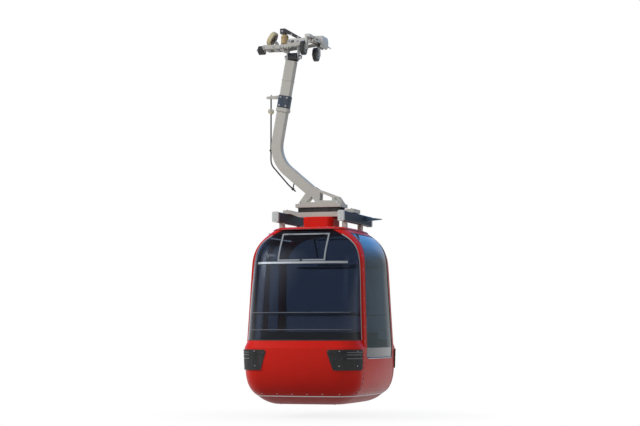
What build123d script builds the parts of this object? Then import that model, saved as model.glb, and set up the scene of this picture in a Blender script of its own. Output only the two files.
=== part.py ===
from build123d import *
import math
import os

os.makedirs("parts", exist_ok=True)

# A four-seat gondola lift cabin on its hanger, with a detachable rope grip on top.
# Millimetres. +Z is up, +Y runs along the rope, +X is the inboard (big window) side.
# The origin is the centre of the rope in the closed jaws.

# Overall placing
cabin_drop = 4310        # rope centre down to the cabin's flat underside
pin_play = 0.05          # radial play of a pin in its bore
far = 3000               # beyond every piece of the cabin

# Shell: heights are measured up from the cabin's flat underside
end_bulge = 3000         # plan radius of the front and rear faces
side_bulge = 8000        # plan radius of the sides
wall = 32                # lower panels
post_depth = 40
half_post = 45
pane = 12                # window thickness
leaf_depth = 32          # door leaf thickness
floor_top = 95
seam_top = 654           # top of the lower panels, foot of the waist ledge
glass_foot = 743
shoulder = 1660          # where the sides begin to curve in
roof_seat = 2036

# Plan sections of the body: height, half width, half length, corner radius
body_rows = [
    (0, 430, 640, 150),
    (45, 548, 748, 190),
    (floor_top, 612, 818, 225),
    (190, 698, 908, 265),
    (380, 738, 982, 290),
    (seam_top, 746, 1000, 285),
    (950, 731, 962, 280),
    (1300, 714, 905, 272),
    (shoulder, 699, 812, 258),
    (1780, 679, 763, 248),
    (1880, 634, 700, 232),
    (1960, 565, 640, 212),
    (roof_seat, 470, 590, 190),
]
pan_rows, tub_rows = body_rows[:3], body_rows[2:6]
side_rows, shoulder_rows = body_rows[5:9], body_rows[8:]
# The same for the wrap-round end windows, which sit back from the side hoops
glass_rows = [
    (glass_foot, 709, 970, 280),
    (950, 698, 948, 275),
    (1300, 684, 895, 267),
    (shoulder, 670, 802, 255),
    (1780, 652, 753, 245),
    (1880, 614, 688, 229),
    (1960, 545, 628, 209),
    (roof_seat, 454, 578, 187),
]
low_glass, high_glass = glass_rows[:4], glass_rows[3:]
roof_rows = [
    (roof_seat, 474, 594, 192),
    (2052, 462, 582, 186),
    (2068, 420, 540, 168),
    (2075, 340, 450, 130),
]
# Centre line of a side post: height, distance from the cabin's middle
post_line = [(0, 618), (seam_top, 600), (2300, 500)]
# Inner face of a door leaf below the waist, straight so that its lower panel is a box
leaf_back_rows = [(130, 618, 828, 205), (seam_top, 714, 968, 253)]

# Inboard window and vents
side_glass_foot = 538
side_glass_top = 1990
side_glass_inset = 4
ledge_depth = 42
vent_half_width = 290
vent_top = 1990
vent_frame = 18
vent_proud = 6

# Corner bumpers
bumper_foot = 400
bumper_top = 635
bumper_proud = 14
bumper_seat = 8
bumper_side_end = 720    # distance from the middle where a bumper ends on the side
bumper_end_top = 360     # and, on the front and rear, at its top and its foot
bumper_end_foot = 436
bumper_end_radius = 30
groove_depth = 7
groove_height = 10
groove_heights = (528, 572, 600)

# Doors, on the outboard side
door_foot = 150
door_top = 1950
leaf_gap = 14            # between a leaf and its doorway
meeting_gap = 3          # each leaf to the middle line
door_border = 62
door_glass_foot = 600
door_glass_top = 1890
door_glass_inset = 8
swing_arm = 250          # pivot to pivot
swing_open = 135         # degrees from shut to open
arm_elbow = (-100, -20)  # from the pivot, as the arm stands when open
arm_half_width = 11
arm_thickness = 14
arm_eye_radius = 20
arm_pin_radius = 9
bracket_plate = 16
bracket_gap = 10         # below a swing arm
# Swing arms: name, height, pivot x, pivot distance from the middle
arm_rows = [("lower", 560, -650, 508), ("upper", 1700, -620, 446)]

# Seats
seat_front = 520         # from the cabin's middle
seat_height = 470
seat_shell = 22
bench_notch_x = 570      # the bench is cut back behind the door leaf
bench_notch_y = 562
cushion_half_width = 530
cushion_rear = 900
cushion_thickness = 50
back_thickness = 45
rest_gap = 0.3           # between a cushion and what it rests on
rail_height = 1050
rail_tube_radius = 13

# Roof gear
hump_half_width = 185
hump_half_length = 190
hump_corner = 70
hump_top = 2215
rail_x = 405
rail_width = 70
rail_foot = 2135
rail_top = 2257
rail_front = -550
rail_rear = 700
cap_length = 40
beam_half_length = 140
beam_half_width = 445
beam_top = 2273
beam_end_thickness = 44
beam_end_rise = 30
beam_slope = 90          # length of the rise from the flat to the ends
beam_bend = 30           # how far the underside bends before the top
damper_height = 58
damper_half_length = 262
damper_width = 70
damper_margin = 6        # flat of the beam beyond the dampers

# Hanger, seen from the front: x and height above the cabin's underside
foot_plate = 44
foot_half_width = 283
foot_half_length = 150
cheek_plate = 16
hanger_head = (-385, 4140)
hanger_bend = (-600, 2940)
hanger_toe = (-80, 2499)
hanger_bend_radius = 400
arm_width = 132
arm_depth = 100
collar_at = 590          # down the arm from its head
collar_proud = 12
collar_length = 40
pivot_x = -362
pivot_drop = 125
hub_radius = 55
hub_half_length = 55
pivot_pin_radius = 22

# Door control on the hanger
control_top = 3700
control_rod_x = -648
control_rod_radius = 9
control_roller_radius = 32
control_roller_drop = 170

# Grip: x and height are from the rope's centre
rope_radius = 20.5
jaw_half = 110
jaw_tip_gap = 6
head_top = 104
beam_foot = 72
beam_x = (-125, -60)
wheel_x = -150
wheel_y = 250
wheel_drop = 60
wheel_radius = 86
wheel_width = 50
axle_radius = 15
axle_plate = 18
axle_plate_half = 30
lever_pivot = (-74, 38)
lever_hub_radius = 26
lever_pin_radius = 14
cheek_thickness = 12
carrier_half = 60
lug_gap = 6
lug_plate = 14
lever_bar_gap = 7        # outside the head's cheeks
lever_bar_plate = 14
lever_half_width = 20
lever_knee = (-500, -4)
lever_end = (-700, 4)
lever_roller_x = -767
lever_roller_z = -18
lever_roller_radius = 55
lever_roller_width = 80
spring_x = -472
spring_top = 152
spring_foot = 45
spring_radius = 45
spring_wall = 5
spring_rod_radius = 20
spring_cup_radius = 30
guide_roller_centre = (-633, 0, 116)
guide_roller_radius = 92
guide_roller_width = 56
guide_roller_tilt = 31
guide_axle_radius = 12
rope_guide_length = 190  # past each end of the jaw
rope_guide_gap = 2.5
rope_guide_wall = 8.5


def plan_outline(half_width, half_length, corner, inset):
    """Four bulged sides joined by tangent corner arcs, as one closed wire."""
    a, b, r = half_width - inset, half_length - inset, corner - inset
    end_r, side_r = end_bulge - inset, side_bulge - inset
    end_c, side_c = Vector(0, b - end_r), Vector(a - side_r, 0)
    reach = (side_c - end_c).length
    u = (side_c - end_c).normalized()
    along = ((end_r - r) ** 2 - (side_r - r) ** 2 + reach**2) / (2 * reach)
    across = math.sqrt((end_r - r) ** 2 - along**2)
    c = end_c + u * along + Vector(u.Y, -u.X) * across
    side_t = side_c + (c - side_c).normalized() * side_r
    end_t = end_c + (c - end_c).normalized() * end_r
    mid = c + ((side_t - c).normalized() + (end_t - c).normalized()).normalized() * r
    turns = [(1, 1), (-1, 1), (-1, -1), (1, -1)]
    edges = []
    for i, (sx, sy) in enumerate(turns):
        s, m, e = [Vector(p.X * sx, p.Y * sy) for p in (side_t, mid, end_t)]
        first, last = (s, e) if i % 2 == 0 else (e, s)
        edges.append(Edge.make_three_point_arc(first, m, last))
        if i % 2 == 0:
            edges.append(Edge.make_three_point_arc(e, Vector(0, b * sy), Vector(-e.X, e.Y)))
        else:
            edges.append(Edge.make_three_point_arc(s, Vector(a * sx, 0), Vector(s.X, -s.Y)))
    return Wire(edges)


def body(rows, inset=0, ruled=False):
    """Solid lofted through plan sections, each drawn in by the inset."""
    wires = [Pos(0, 0, z) * plan_outline(a, b, r, inset) for z, a, b, r in rows]
    return Part() + Solid.make_loft(wires, ruled)


def skin(inset, depth, *bodies):
    """Hollow skin through bodies that stand one on the other."""
    return Part() + [body(rows, inset) - body(rows, inset + depth) for rows in bodies]


def band(foot, top, x0=-far, x1=far, y0=-far, y1=far):
    """Block between two heights."""
    return Pos((x0 + x1) / 2, (y0 + y1) / 2, (foot + top) / 2) * Box(x1 - x0, y1 - y0, top - foot)


def side_prism(points, x0, x1):
    """Outline in y and height, drawn out along x."""
    face = make_face(Polyline(*[(0, y, z) for y, z in points], close=True))
    return Pos(x0, 0, 0) * extrude(face, amount=x1 - x0, dir=(1, 0, 0))


def front_prism(points, y0, y1):
    """Outline in x and height, drawn out along y."""
    face = make_face(Polyline(*[(x, 0, z) for x, z in points], close=True))
    return Pos(0, y0, 0) * extrude(face, amount=y1 - y0, dir=(0, 1, 0))


def rod(radius, start, end):
    """Round bar between two points."""
    start, end = Vector(start), Vector(end)
    plane = Plane(origin=start, z_dir=end - start)
    return plane * Cylinder(radius, (end - start).length, align=(Align.CENTER, Align.CENTER, Align.MIN))


def between_posts(shift, x0=-far, x1=far):
    """Space between the two posts of a side, its edges shifted out from their centre lines."""
    points = [(y + shift, z) for z, y in post_line] + [(-y - shift, z) for z, y in reversed(post_line)]
    return side_prism(points, x0, x1)


def both_ends(solid):
    """A front piece and its mirror image at the rear."""
    return Part() + [solid, mirror(solid, Plane.XZ)]


def bumper_section(z):
    """Plan section of the lower panels at a height within the bumpers."""
    (z0, *low), (z1, *high) = tub_rows[-2:]
    return (z, *[a + (b - a) * (z - z0) / (z1 - z0) for a, b in zip(low, high)])


nodes = {}

# Lower body: floor pan, panels with seats for the corner bumpers, and the waist ledge
bumper_rows = [bumper_section(bumper_foot), bumper_section(bumper_top)]
bumper_zone = front_prism(
    [(bumper_end_foot, bumper_foot), (far, bumper_foot), (far, bumper_top), (bumper_end_top, bumper_top)],
    bumper_side_end, far)
bumper_zone = fillet(bumper_zone.edges().filter_by(Axis.Y).sort_by(Axis.X)[:2]
                     + bumper_zone.edges().filter_by(Axis.X).sort_by(Axis.Y)[:2], bumper_end_radius)
bumper_zones = [bumper_zone, mirror(bumper_zone, Plane.YZ)]
bumper_zones = Part() + bumper_zones + [mirror(zone, Plane.XZ) for zone in bumper_zones]
bumper_bed = body(bumper_rows, bumper_seat, ruled=True)
bumpers = body(bumper_rows, -bumper_proud, ruled=True) - bumper_bed
for z in groove_heights:
    groove_rows = [bumper_section(z), bumper_section(z + groove_height)]
    bumpers -= body(groove_rows, -2 * bumper_proud, True) - body(groove_rows, groove_depth - bumper_proud, True)
nodes["corner_bumpers"] = bumpers & bumper_zones

tub = skin(0, wall, tub_rows) - (bumper_zones - bumper_bed)
seam_y = post_line[1][1] + half_post
doorway = between_posts(-half_post, x1=-200) & band(door_foot - leaf_gap, seam_top)
window_way = between_posts(-half_post, x0=200) & band(side_glass_foot, seam_top)
nodes["floor_pan"] = body(pan_rows)
nodes["lower_panels_end"] = tub - band(0, far, y0=-seam_y, y1=seam_y)
nodes["lower_panel_inboard"] = (tub & band(0, far, x0=0, y0=-seam_y, y1=seam_y)) - window_way
nodes["lower_panel_outboard"] = (tub & band(0, far, x1=0, y0=-seam_y, y1=seam_y)) - doorway

ledge_rows = [tub_rows[-1], low_glass[0]]
beyond_posts = band(0, far) - between_posts(half_post)
nodes["waist_ledges"] = (body(ledge_rows, 0, True) - body(ledge_rows, ledge_depth, True)) & beyond_posts

# Side hoops: two posts and a header each, round the doorway and the inboard window
hoop_skin = skin(0, post_depth, side_rows, shoulder_rows) & between_posts(half_post)
hoop_pieces = []
for x0, x1, header_foot in ((-far, 0, door_top + leaf_gap), (0, far, side_glass_top)):
    hoop_pieces.append((hoop_skin & band(0, header_foot, x0, x1)) - between_posts(-half_post))
    hoop_pieces.append(hoop_skin & band(header_foot + rest_gap, far, x0, x1))
nodes["side_hoops"] = Part() + hoop_pieces

# Windows
side_glass_zone = between_posts(-half_post, x0=200) & band(side_glass_foot, side_glass_top)
nodes["window_inboard"] = skin(side_glass_inset, pane, tub_rows, side_rows, shoulder_rows) & side_glass_zone
vent_zone = band(shoulder, vent_top, -vent_half_width, vent_half_width)
vent_hole = band(shoulder + vent_frame, vent_top - vent_frame,
                 vent_frame - vent_half_width, vent_half_width - vent_frame)
high_skin = skin(0, pane, high_glass)
nodes["end_windows"] = ((skin(0, pane, low_glass) + high_skin) & beyond_posts) - vent_zone
nodes["vent_frames"] = skin(-vent_proud, pane + 2 * vent_proud, high_glass) & (vent_zone - vent_hole)
nodes["vent_panes"] = high_skin & vent_hole

# Roof: cap, hump, two rails on feet, a fin on the inboard rail, cross beam
roof = body(roof_rows, ruled=True)
hump_plan = RectangleRounded(2 * hump_half_width, 2 * hump_half_length, hump_corner)
hump = Pos(0, 0, roof_rows[-1][0]) * extrude(hump_plan, amount=hump_top - roof_rows[-1][0])
nodes["roof_cap"] = roof
nodes["roof_hump"] = fillet(hump.faces().sort_by(Axis.Z)[-1].edges(), 18)
rails, caps, feet = [], [], []
for side in (-1, 1):
    bar = band(rail_foot, rail_top, side * rail_x - rail_width / 2, side * rail_x + rail_width / 2,
               rail_front + cap_length, rail_rear - cap_length)
    rails.append(fillet(bar.edges().filter_by(Axis.Y), 14))
    for y in (rail_front, rail_rear - cap_length):
        cap = band(rail_foot - 2, rail_top + 2, side * rail_x - rail_width / 2 - 2,
                   side * rail_x + rail_width / 2 + 2, y, y + cap_length)
        caps.append(fillet(cap.edges().filter_by(Axis.Y), 16))
    for y in (-330, 330):
        foot_x = side * (rail_x - 15)
        feet.append(band(roof_seat + 10, rail_foot, foot_x - 25, foot_x + 25, y - 35, y + 35) - roof)
nodes["roof_rails"] = Part() + rails
nodes["rail_caps"] = Part() + caps
nodes["rail_feet"] = Part() + feet
fin_points = [(rail_x + rail_width / 2, 2184), (640, 2203), (640, 2213), (rail_x + rail_width / 2, 2240)]
nodes["rail_fin"] = front_prism(fin_points, 396, 424)

beam_end_low, beam_end_high = hump_top + beam_end_thickness, beam_top + beam_end_rise
beam_flat = damper_half_length + damper_margin
beam_side = [(beam_flat - beam_bend, hump_top), (beam_flat + beam_slope, beam_end_low), (beam_half_width, beam_end_low),
             (beam_half_width, beam_end_high), (beam_flat + beam_slope, beam_end_high), (beam_flat, beam_top)]
beam_points = beam_side + [(-x, z) for x, z in reversed(beam_side)]
nodes["cross_beam"] = front_prism(beam_points, -beam_half_length, beam_half_length)
plate_foot = beam_top + damper_height
nodes["dampers"] = Part() + [
    fillet(band(beam_top, plate_foot, -damper_half_length, damper_half_length, y - damper_width / 2,
                y + damper_width / 2).edges().filter_by(Axis.Z), 24) for y in (-95, 95)]

# Hanger foot: a base plate with cut-out gusset cheeks on both sides of the arm's toe
plate_top = plate_foot + foot_plate
foot = band(plate_foot, plate_top, -foot_half_width, foot_half_width, -foot_half_length, foot_half_length)
gusset_points = [(-foot_half_width, plate_top), (foot_half_width, plate_top), (225, 2460), (-30, 2555),
                 (-80, 2590), (-150, 2555)]
gusset_holes = [
    [(-175, 2400), (-60, 2400), (-110, 2470)],
    [(-5, 2420), (150, 2415), (150, 2450), (0, 2515)],
    [(185, 2415), (225, 2415), (200, 2448), (185, 2452)],
]
for y0 in (arm_depth / 2, -arm_depth / 2 - cheek_plate):
    gusset = front_prism(gusset_points, y0, y0 + cheek_plate)
    gusset -= [front_prism(hole, y0, y0 + cheek_plate) for hole in gusset_holes]
    foot += gusset
nodes["hanger_foot"] = foot

# Hanger arm: a box tube with one large bend and a welded collar
head, bend, toe = [Vector(x, 0, z) for x, z in (hanger_head, hanger_bend, hanger_toe)]
down = (bend - head).normalized()
arm_path = FilletPolyline(head, bend, toe, radius=hanger_bend_radius)
arm = sweep(Plane(origin=head, z_dir=down, x_dir=(0, 1, 0)) * RectangleRounded(arm_depth, arm_width, 14),
            path=arm_path)
collar_plane = Plane(origin=head + down * collar_at, z_dir=down, x_dir=(0, 1, 0))
collar_plan = RectangleRounded(arm_depth + 2 * collar_proud, arm_width + 2 * collar_proud, 18)
arm += collar_plane * extrude(collar_plan, amount=collar_length)

# Door control: bracket on the arm, roller, and rod down to the roof
roller_z = control_top - control_roller_drop
control_bracket = front_prism([(-500, control_top - 25), (-700, control_top - 12), (-700, control_top + 12),
                               (-500, control_top + 25)], -20, 20)
nodes["control_bracket"] = control_bracket - arm
control_roller = rod(control_roller_radius, (control_rod_x, -24, roller_z), (control_rod_x, 24, roller_z))
rod_points = [(control_rod_x, 0, control_top - 10), (control_rod_x, 0, 2880), (-420, 0, 2620), (-330, 0, 2540)]
control_rod = sweep(Plane(origin=rod_points[0], z_dir=(0, 0, -1)) * Circle(control_rod_radius),
                    path=FilletPolyline(*rod_points, radius=[160, 200]))
nodes["control_roller"] = control_roller
nodes["control_rod"] = control_rod - control_roller - control_bracket

# Seats: a moulded bench with cushions at each end, and handrails
bench_points = [(-seat_front, floor_top), (-seat_front, seat_height), (-far, seat_height),
                (-far, seat_height - seat_shell), (-seat_front - seat_shell, seat_height - seat_shell),
                (-seat_front - seat_shell, floor_top)]
bench = side_prism(bench_points, -far, far) & body(tub_rows, wall)
bench -= band(0, far, x1=-bench_notch_x, y0=-bench_notch_y)
seat_pad = band(seat_height + rest_gap, seat_height + cushion_thickness, -cushion_half_width, cushion_half_width,
                -cushion_rear, -seat_front)
seat_pad = fillet(seat_pad.edges().filter_by(Axis.Z), 60)
back_foot = seat_height + cushion_thickness + rest_gap
back_points = [(-890, back_foot), (-890 + back_thickness, back_foot), (-845 + back_thickness, 840), (-845, 840)]
back_pad = side_prism(back_points, -460, 460)
rail_points = [(-760, -576, rail_height), (-580, -576, rail_height), (-520, -810, rail_height),
               (520, -810, rail_height), (580, -576, rail_height), (760, -576, rail_height)]
rail_start = Plane(origin=rail_points[0], z_dir=Vector(rail_points[1]) - Vector(rail_points[0]))
handrail = sweep(rail_start * Circle(rail_tube_radius), path=FilletPolyline(*rail_points, radius=70))
handrail &= body(side_rows, post_depth)
nodes["benches"] = both_ends(bench)
nodes["seat_cushions"] = both_ends(seat_pad)
nodes["back_cushions"] = both_ends(back_pad)
nodes["handrails"] = both_ends(handrail)

# Doors: two leaves, each carried by two swing arms on jamb brackets
leaf_zone = between_posts(-half_post - leaf_gap, x1=-200) & band(door_foot, door_top, y1=-meeting_gap)
light = between_posts(-half_post - leaf_gap - door_border, x1=-200) & band(
    door_glass_foot, door_glass_top, y1=-meeting_gap - door_border)
leaf_back = body(leaf_back_rows, ruled=True)
leaf = (skin(0, leaf_depth, side_rows, shoulder_rows) + (body(tub_rows) - leaf_back)) & leaf_zone
leaf -= light
door_pane = skin(door_glass_inset, pane, tub_rows, side_rows, shoulder_rows) & light


def swing_bar(px, py, z):
    """Gooseneck arm as it lies when the door is shut, its pivot at (px, py)."""
    start, end = Vector(0, 0), Vector(0, swing_arm)
    elbow = Vector(*arm_elbow).rotate(Axis.Z, -swing_open)
    bar = Pos(elbow.X, elbow.Y, 0) * Cylinder(arm_half_width, arm_thickness)
    for a, b in ((start, elbow), (elbow, end)):
        middle, angle = (a + b) * 0.5, math.degrees(math.atan2(b.Y - a.Y, b.X - a.X))
        bar += Pos(middle.X, middle.Y, 0) * Rotation(0, 0, angle) * Box(
            (b - a).length, 2 * arm_half_width, arm_thickness)
    for eye in (start, end):
        bar += Pos(eye.X, eye.Y, 0) * Cylinder(arm_eye_radius, arm_thickness)
    for eye in (start, end):
        bar -= Pos(eye.X, eye.Y, 0) * Cylinder(arm_pin_radius + pin_play, arm_thickness)
    return Pos(px, py, z) * bar


jamb_brackets = Part()
arm_backs = {"lower": (body(tub_rows, wall), leaf_back),
             "upper": (body(shoulder_rows, post_depth), body(shoulder_rows, leaf_depth))}
leaf_pieces = {"door_leaf": leaf, "door_pane": door_pane, "door_leaf_brackets": Part()}
for name, z, px, py in arm_rows:
    jamb_back, back = arm_backs[name]
    leaf_pieces[f"door_arm_{name}"] = swing_bar(px, -py, z)
    plate_z = z - arm_thickness / 2 - bracket_gap - bracket_plate
    pin_top = z + arm_thickness / 2 + 6
    plan = Polyline((px + 22, -py + 16), (px + 22, -py - 92), (-far, -py - 92), (-far, -py - 54),
                    (px - 16, -py - 54), (px - 16, -py + 16), close=True)
    jamb = Pos(0, 0, plate_z) * extrude(make_face(plan), amount=bracket_plate)
    jamb_brackets += (jamb & jamb_back) + rod(arm_pin_radius, (px, -py, plate_z), (px, -py, pin_top))
    leaf_y = -py + swing_arm
    tongue = band(plate_z, plate_z + bracket_plate, -far, px + 16, leaf_y - 16, leaf_y + 16)
    leaf_pieces["door_leaf_brackets"] += (tongue & back) + rod(
        arm_pin_radius, (px, leaf_y, plate_z), (px, leaf_y, pin_top))
nodes["door_jamb_brackets"] = both_ends(jamb_brackets)
for name, solid in leaf_pieces.items():
    nodes[f"{name}_front"] = solid
    nodes[f"{name}_rear"] = mirror(solid, Plane.XZ)

for name in list(nodes):
    nodes[name] = Pos(0, 0, -cabin_drop) * nodes[name]

# Hanger hub, welded to the arm's head, round the grip's pivot pin
hub_ends = [(pivot_x - hub_half_length, 0, -pivot_drop), (pivot_x + hub_half_length, 0, -pivot_drop)]
hub = rod(hub_radius, *hub_ends)
nodes["hanger_hub"] = hub - rod(pivot_pin_radius + pin_play, *hub_ends)
nodes["hanger_arm"] = (Pos(0, 0, -cabin_drop) * arm) - rod(
    hub_radius, (-600, 0, -pivot_drop), (-100, 0, -pivot_drop))

# Grip head: block with the fixed jaw, axle beam with wheel plates, and cheeks for the lever's shaft
lx, lz = lever_pivot
rope_bore = rod(rope_radius, (0, -far, 0), (0, far, 0))
head_points = [(beam_x[1], beam_foot), (beam_x[1], head_top), (44, head_top), (52, 60), (52, 6), (44, -22),
               (26, -36), (13, -33), (13, 0), (-12, 0), (-12, 60)]
grip = front_prism(head_points, -jaw_half, jaw_half)
grip += band(beam_foot, head_top, *beam_x, -wheel_y - axle_plate_half, wheel_y + axle_plate_half)
plate_x = wheel_x + wheel_width / 2 + 7
for y in (-wheel_y, wheel_y):
    grip += band(-wheel_drop - 24, beam_foot, plate_x, plate_x + axle_plate,
                 y - axle_plate_half, y + axle_plate_half)
    grip += rod(axle_radius, (wheel_x - wheel_width / 2 - 10, y, -wheel_drop), (plate_x, y, -wheel_drop))
cheek_points = [(lx - 40, beam_foot), (lx + 34, beam_foot), (lx + 26, lz - 14), (lx + 12, lz - 26),
                (lx - 12, lz - 26), (lx - 30, lz - 14)]
cheek_in = jaw_half - cheek_thickness
for y0 in (cheek_in, -jaw_half):
    grip += front_prism(cheek_points, y0, y0 + cheek_thickness)
grip -= rod(lever_pin_radius + pin_play, (lx, -far, lz), (lx, far, lz))
nodes["grip_head"] = grip - rope_bore

# Carrier: the casting that reaches out to the hanger's pivot pin, and the arm over the spring
carrier_points = [(beam_x[0], beam_foot), (beam_x[0], head_top), (-300, 98), (-400, 98), (-420, 60), (-420, 40),
                  (-437, 36), (-437, 14), (-300, 14), (-236, 22), (-180, 62)]
carrier = front_prism(carrier_points, -carrier_half, carrier_half)
carrier -= front_prism([(-385, 40), (-330, 40), (-330, 78), (-370, 78)], -far, far)
lug_points = [(-34, 14), (34, 14), (34, -pivot_drop), (20, -pivot_drop - 32),
              (-20, -pivot_drop - 32), (-34, -pivot_drop)]
for x0 in (pivot_x - hub_half_length - lug_gap - lug_plate, pivot_x + hub_half_length + lug_gap):
    carrier += side_prism(lug_points, x0, x0 + lug_plate)
pin_reach = hub_half_length + lug_gap + lug_plate + 6
hanger_pin = rod(pivot_pin_radius, (pivot_x - pin_reach, 0, -pivot_drop), (pivot_x + pin_reach, 0, -pivot_drop))
nodes["grip_carrier"] = carrier - hanger_pin
nodes["hanger_pin"] = hanger_pin
spring_arm = front_prism([(-300, 98), (-236, 101), (-455, 232), (-520, 232), (-520, 168), (-430, 168)], -42, 42)
nodes["spring_arm"] = spring_arm - carrier
housing = fillet(rod(spring_radius, (spring_x, 0, spring_foot), (spring_x, 0, spring_top)).edges()
                 .sort_by(Axis.Z)[-1], 10)
housing -= rod(spring_radius - spring_wall, (spring_x, 0, spring_foot), (spring_x, 0, spring_top - 10))
nodes["spring_housing"] = housing + rod(24, (spring_x, 0, spring_top), (spring_x, 0, 168))
guide_end = jaw_half + rope_guide_length
guides = rod(rope_radius + rope_guide_gap + rope_guide_wall, (0, -guide_end, 0), (0, guide_end, 0))
guides -= rod(rope_radius + rope_guide_gap, (0, -guide_end, 0), (0, guide_end, 0))
nodes["rope_guides"] = guides & (band(6, far) - band(-far, far, y0=-jaw_half, y1=jaw_half))

# Running wheels, on plain axles beyond the beam's plates
for name, y in (("front", -wheel_y), ("rear", wheel_y)):
    wheel_ends = [(wheel_x - wheel_width / 2, y, -wheel_drop), (wheel_x + wheel_width / 2, y, -wheel_drop)]
    wheel = fillet(rod(wheel_radius, *wheel_ends).edges(), 6)
    nodes[f"running_wheel_{name}"] = wheel - rod(axle_radius + pin_play, *wheel_ends)

# Grip lever: moving jaw and two bars on one shaft, tied by cross blocks, with axles for two rollers
jaw_points = [(-92, 16), (-84, 60), (-62, 62), (-30, 40), (-18, 24), (-18, 0), (-10, -10), (-4, -34),
              (-14, -40), (-34, -30), (-62, 4)]
jaw_reach = cheek_in - jaw_tip_gap
moving_jaw = front_prism(jaw_points, -jaw_reach, jaw_reach)
moving_jaw += rod(lever_hub_radius, (lx, -jaw_reach, lz), (lx, jaw_reach, lz))
bar_in = jaw_half + lever_bar_gap
bar_out = bar_in + lever_bar_plate
shaft = rod(lever_pin_radius, (lx, -bar_out - 8, lz), (lx, bar_out + 8, lz))
(knee_x, knee_z), (end_x, end_z) = lever_knee, lever_end
bar_points = [(lx, lz + lever_half_width), (knee_x, knee_z + lever_half_width), (end_x, end_z + lever_half_width),
              (end_x - 24, end_z - 4), (end_x, end_z - lever_half_width - 10),
              (knee_x, knee_z - lever_half_width - 6), (lx, lz - lever_half_width)]
bars = band(-50, -12, spring_x - 26, spring_x + 26, -bar_in, bar_in)
bars += band(-30, 10, end_x - 14, end_x + 26, -bar_in, bar_in)
bars += band(-30, 8, -590, -560, -bar_in, bar_in)
bars += front_prism([(-590, 8), (-560, 8), (-556, 62), (-574, 82), (-592, 72)], -20, 20)
for y0 in (bar_in, -bar_out):
    bars += front_prism(bar_points, y0, y0 + lever_bar_plate)
    bars += rod(30, (lx, y0, lz), (lx, y0 + lever_bar_plate, lz))
roller_far = lever_roller_x - lever_roller_width / 2
roller_axle = rod(axle_radius, (end_x - 14, 0, lever_roller_z), (roller_far - 12, 0, lever_roller_z))
tilt = math.radians(guide_roller_tilt)
guide_dir = Vector(math.cos(tilt), 0, -math.sin(tilt))
guide_centre = Vector(guide_roller_centre)
guide_half = guide_dir * (guide_roller_width / 2)
guide_axle = rod(guide_axle_radius, guide_centre - guide_half - guide_dir * 10, guide_centre + guide_dir * 62)
spring_rod = rod(spring_rod_radius, (spring_x, 0, -12), (spring_x, 0, spring_foot + 15))
spring_rod += rod(spring_cup_radius, (spring_x, 0, -12), (spring_x, 0, 4))
nodes["moving_jaw"] = moving_jaw - shaft - rope_bore
nodes["lever_bars"] = bars - shaft - roller_axle - guide_axle
nodes["lever_pins"] = Part() + [shaft, roller_axle, guide_axle]
nodes["spring_rod"] = spring_rod
roller_ends = [(roller_far, 0, lever_roller_z), (roller_far + lever_roller_width, 0, lever_roller_z)]
lever_roller = fillet(rod(lever_roller_radius, *roller_ends).edges(), 8)
nodes["lever_roller"] = lever_roller - rod(axle_radius + pin_play, *roller_ends)
guide_roller = fillet(rod(guide_roller_radius, guide_centre - guide_half, guide_centre + guide_half).edges(), 12)
nodes["guide_roller"] = guide_roller - rod(
    guide_axle_radius + pin_play, guide_centre - guide_half, guide_centre + guide_half)

for name, solid in nodes.items():
    export_step(solid, f"parts/{name}.step")
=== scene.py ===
import bpy, bmesh
from math import atan2, copysign, cos, exp, pi, radians, sin
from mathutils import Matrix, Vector
from mathutils.bvhtree import BVHTree


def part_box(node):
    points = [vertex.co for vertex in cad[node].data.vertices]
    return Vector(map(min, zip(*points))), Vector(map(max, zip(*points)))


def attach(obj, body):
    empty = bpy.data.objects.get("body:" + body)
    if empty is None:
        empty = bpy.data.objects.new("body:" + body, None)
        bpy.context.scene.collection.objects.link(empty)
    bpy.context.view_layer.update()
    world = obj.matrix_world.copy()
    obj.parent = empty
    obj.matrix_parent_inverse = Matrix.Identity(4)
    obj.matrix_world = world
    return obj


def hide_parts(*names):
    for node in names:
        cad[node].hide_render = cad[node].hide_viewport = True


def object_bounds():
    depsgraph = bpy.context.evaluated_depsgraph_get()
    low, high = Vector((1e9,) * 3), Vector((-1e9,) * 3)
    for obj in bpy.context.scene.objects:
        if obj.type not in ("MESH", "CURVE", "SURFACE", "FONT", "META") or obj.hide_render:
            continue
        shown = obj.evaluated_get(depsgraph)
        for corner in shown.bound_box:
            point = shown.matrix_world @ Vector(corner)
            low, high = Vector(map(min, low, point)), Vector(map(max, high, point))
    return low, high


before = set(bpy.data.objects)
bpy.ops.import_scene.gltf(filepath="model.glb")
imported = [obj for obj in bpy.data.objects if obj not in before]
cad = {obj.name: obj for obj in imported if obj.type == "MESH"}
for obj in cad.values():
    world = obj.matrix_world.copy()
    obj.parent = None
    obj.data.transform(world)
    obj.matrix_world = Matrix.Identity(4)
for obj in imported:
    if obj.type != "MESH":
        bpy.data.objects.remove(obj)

cad_low, cad_high = [list(v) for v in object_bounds()]

# Studio: the camera stands where the photograph was taken from, a little under two metres to the inboard
# side for every six in front, with its eye level with the lower panels. Pale floor, even soft light.
scene = bpy.context.scene
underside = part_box("floor_pan")[0].z
eye_height, eye_distance, eye_turn, eye_lens = 0.80, 19.9, radians(17.4), 93
aim = Vector((-0.02, 0, (cad_low[2] + cad_high[2]) / 2))


def aimed(item, place):
    """Puts a camera or lamp in its place, turned to the middle of the object."""
    item.location = place
    item.rotation_mode = "QUATERNION"
    item.rotation_quaternion = (aim - Vector(place)).to_track_quat("-Z", "Y")
    scene.collection.objects.link(item)


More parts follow.
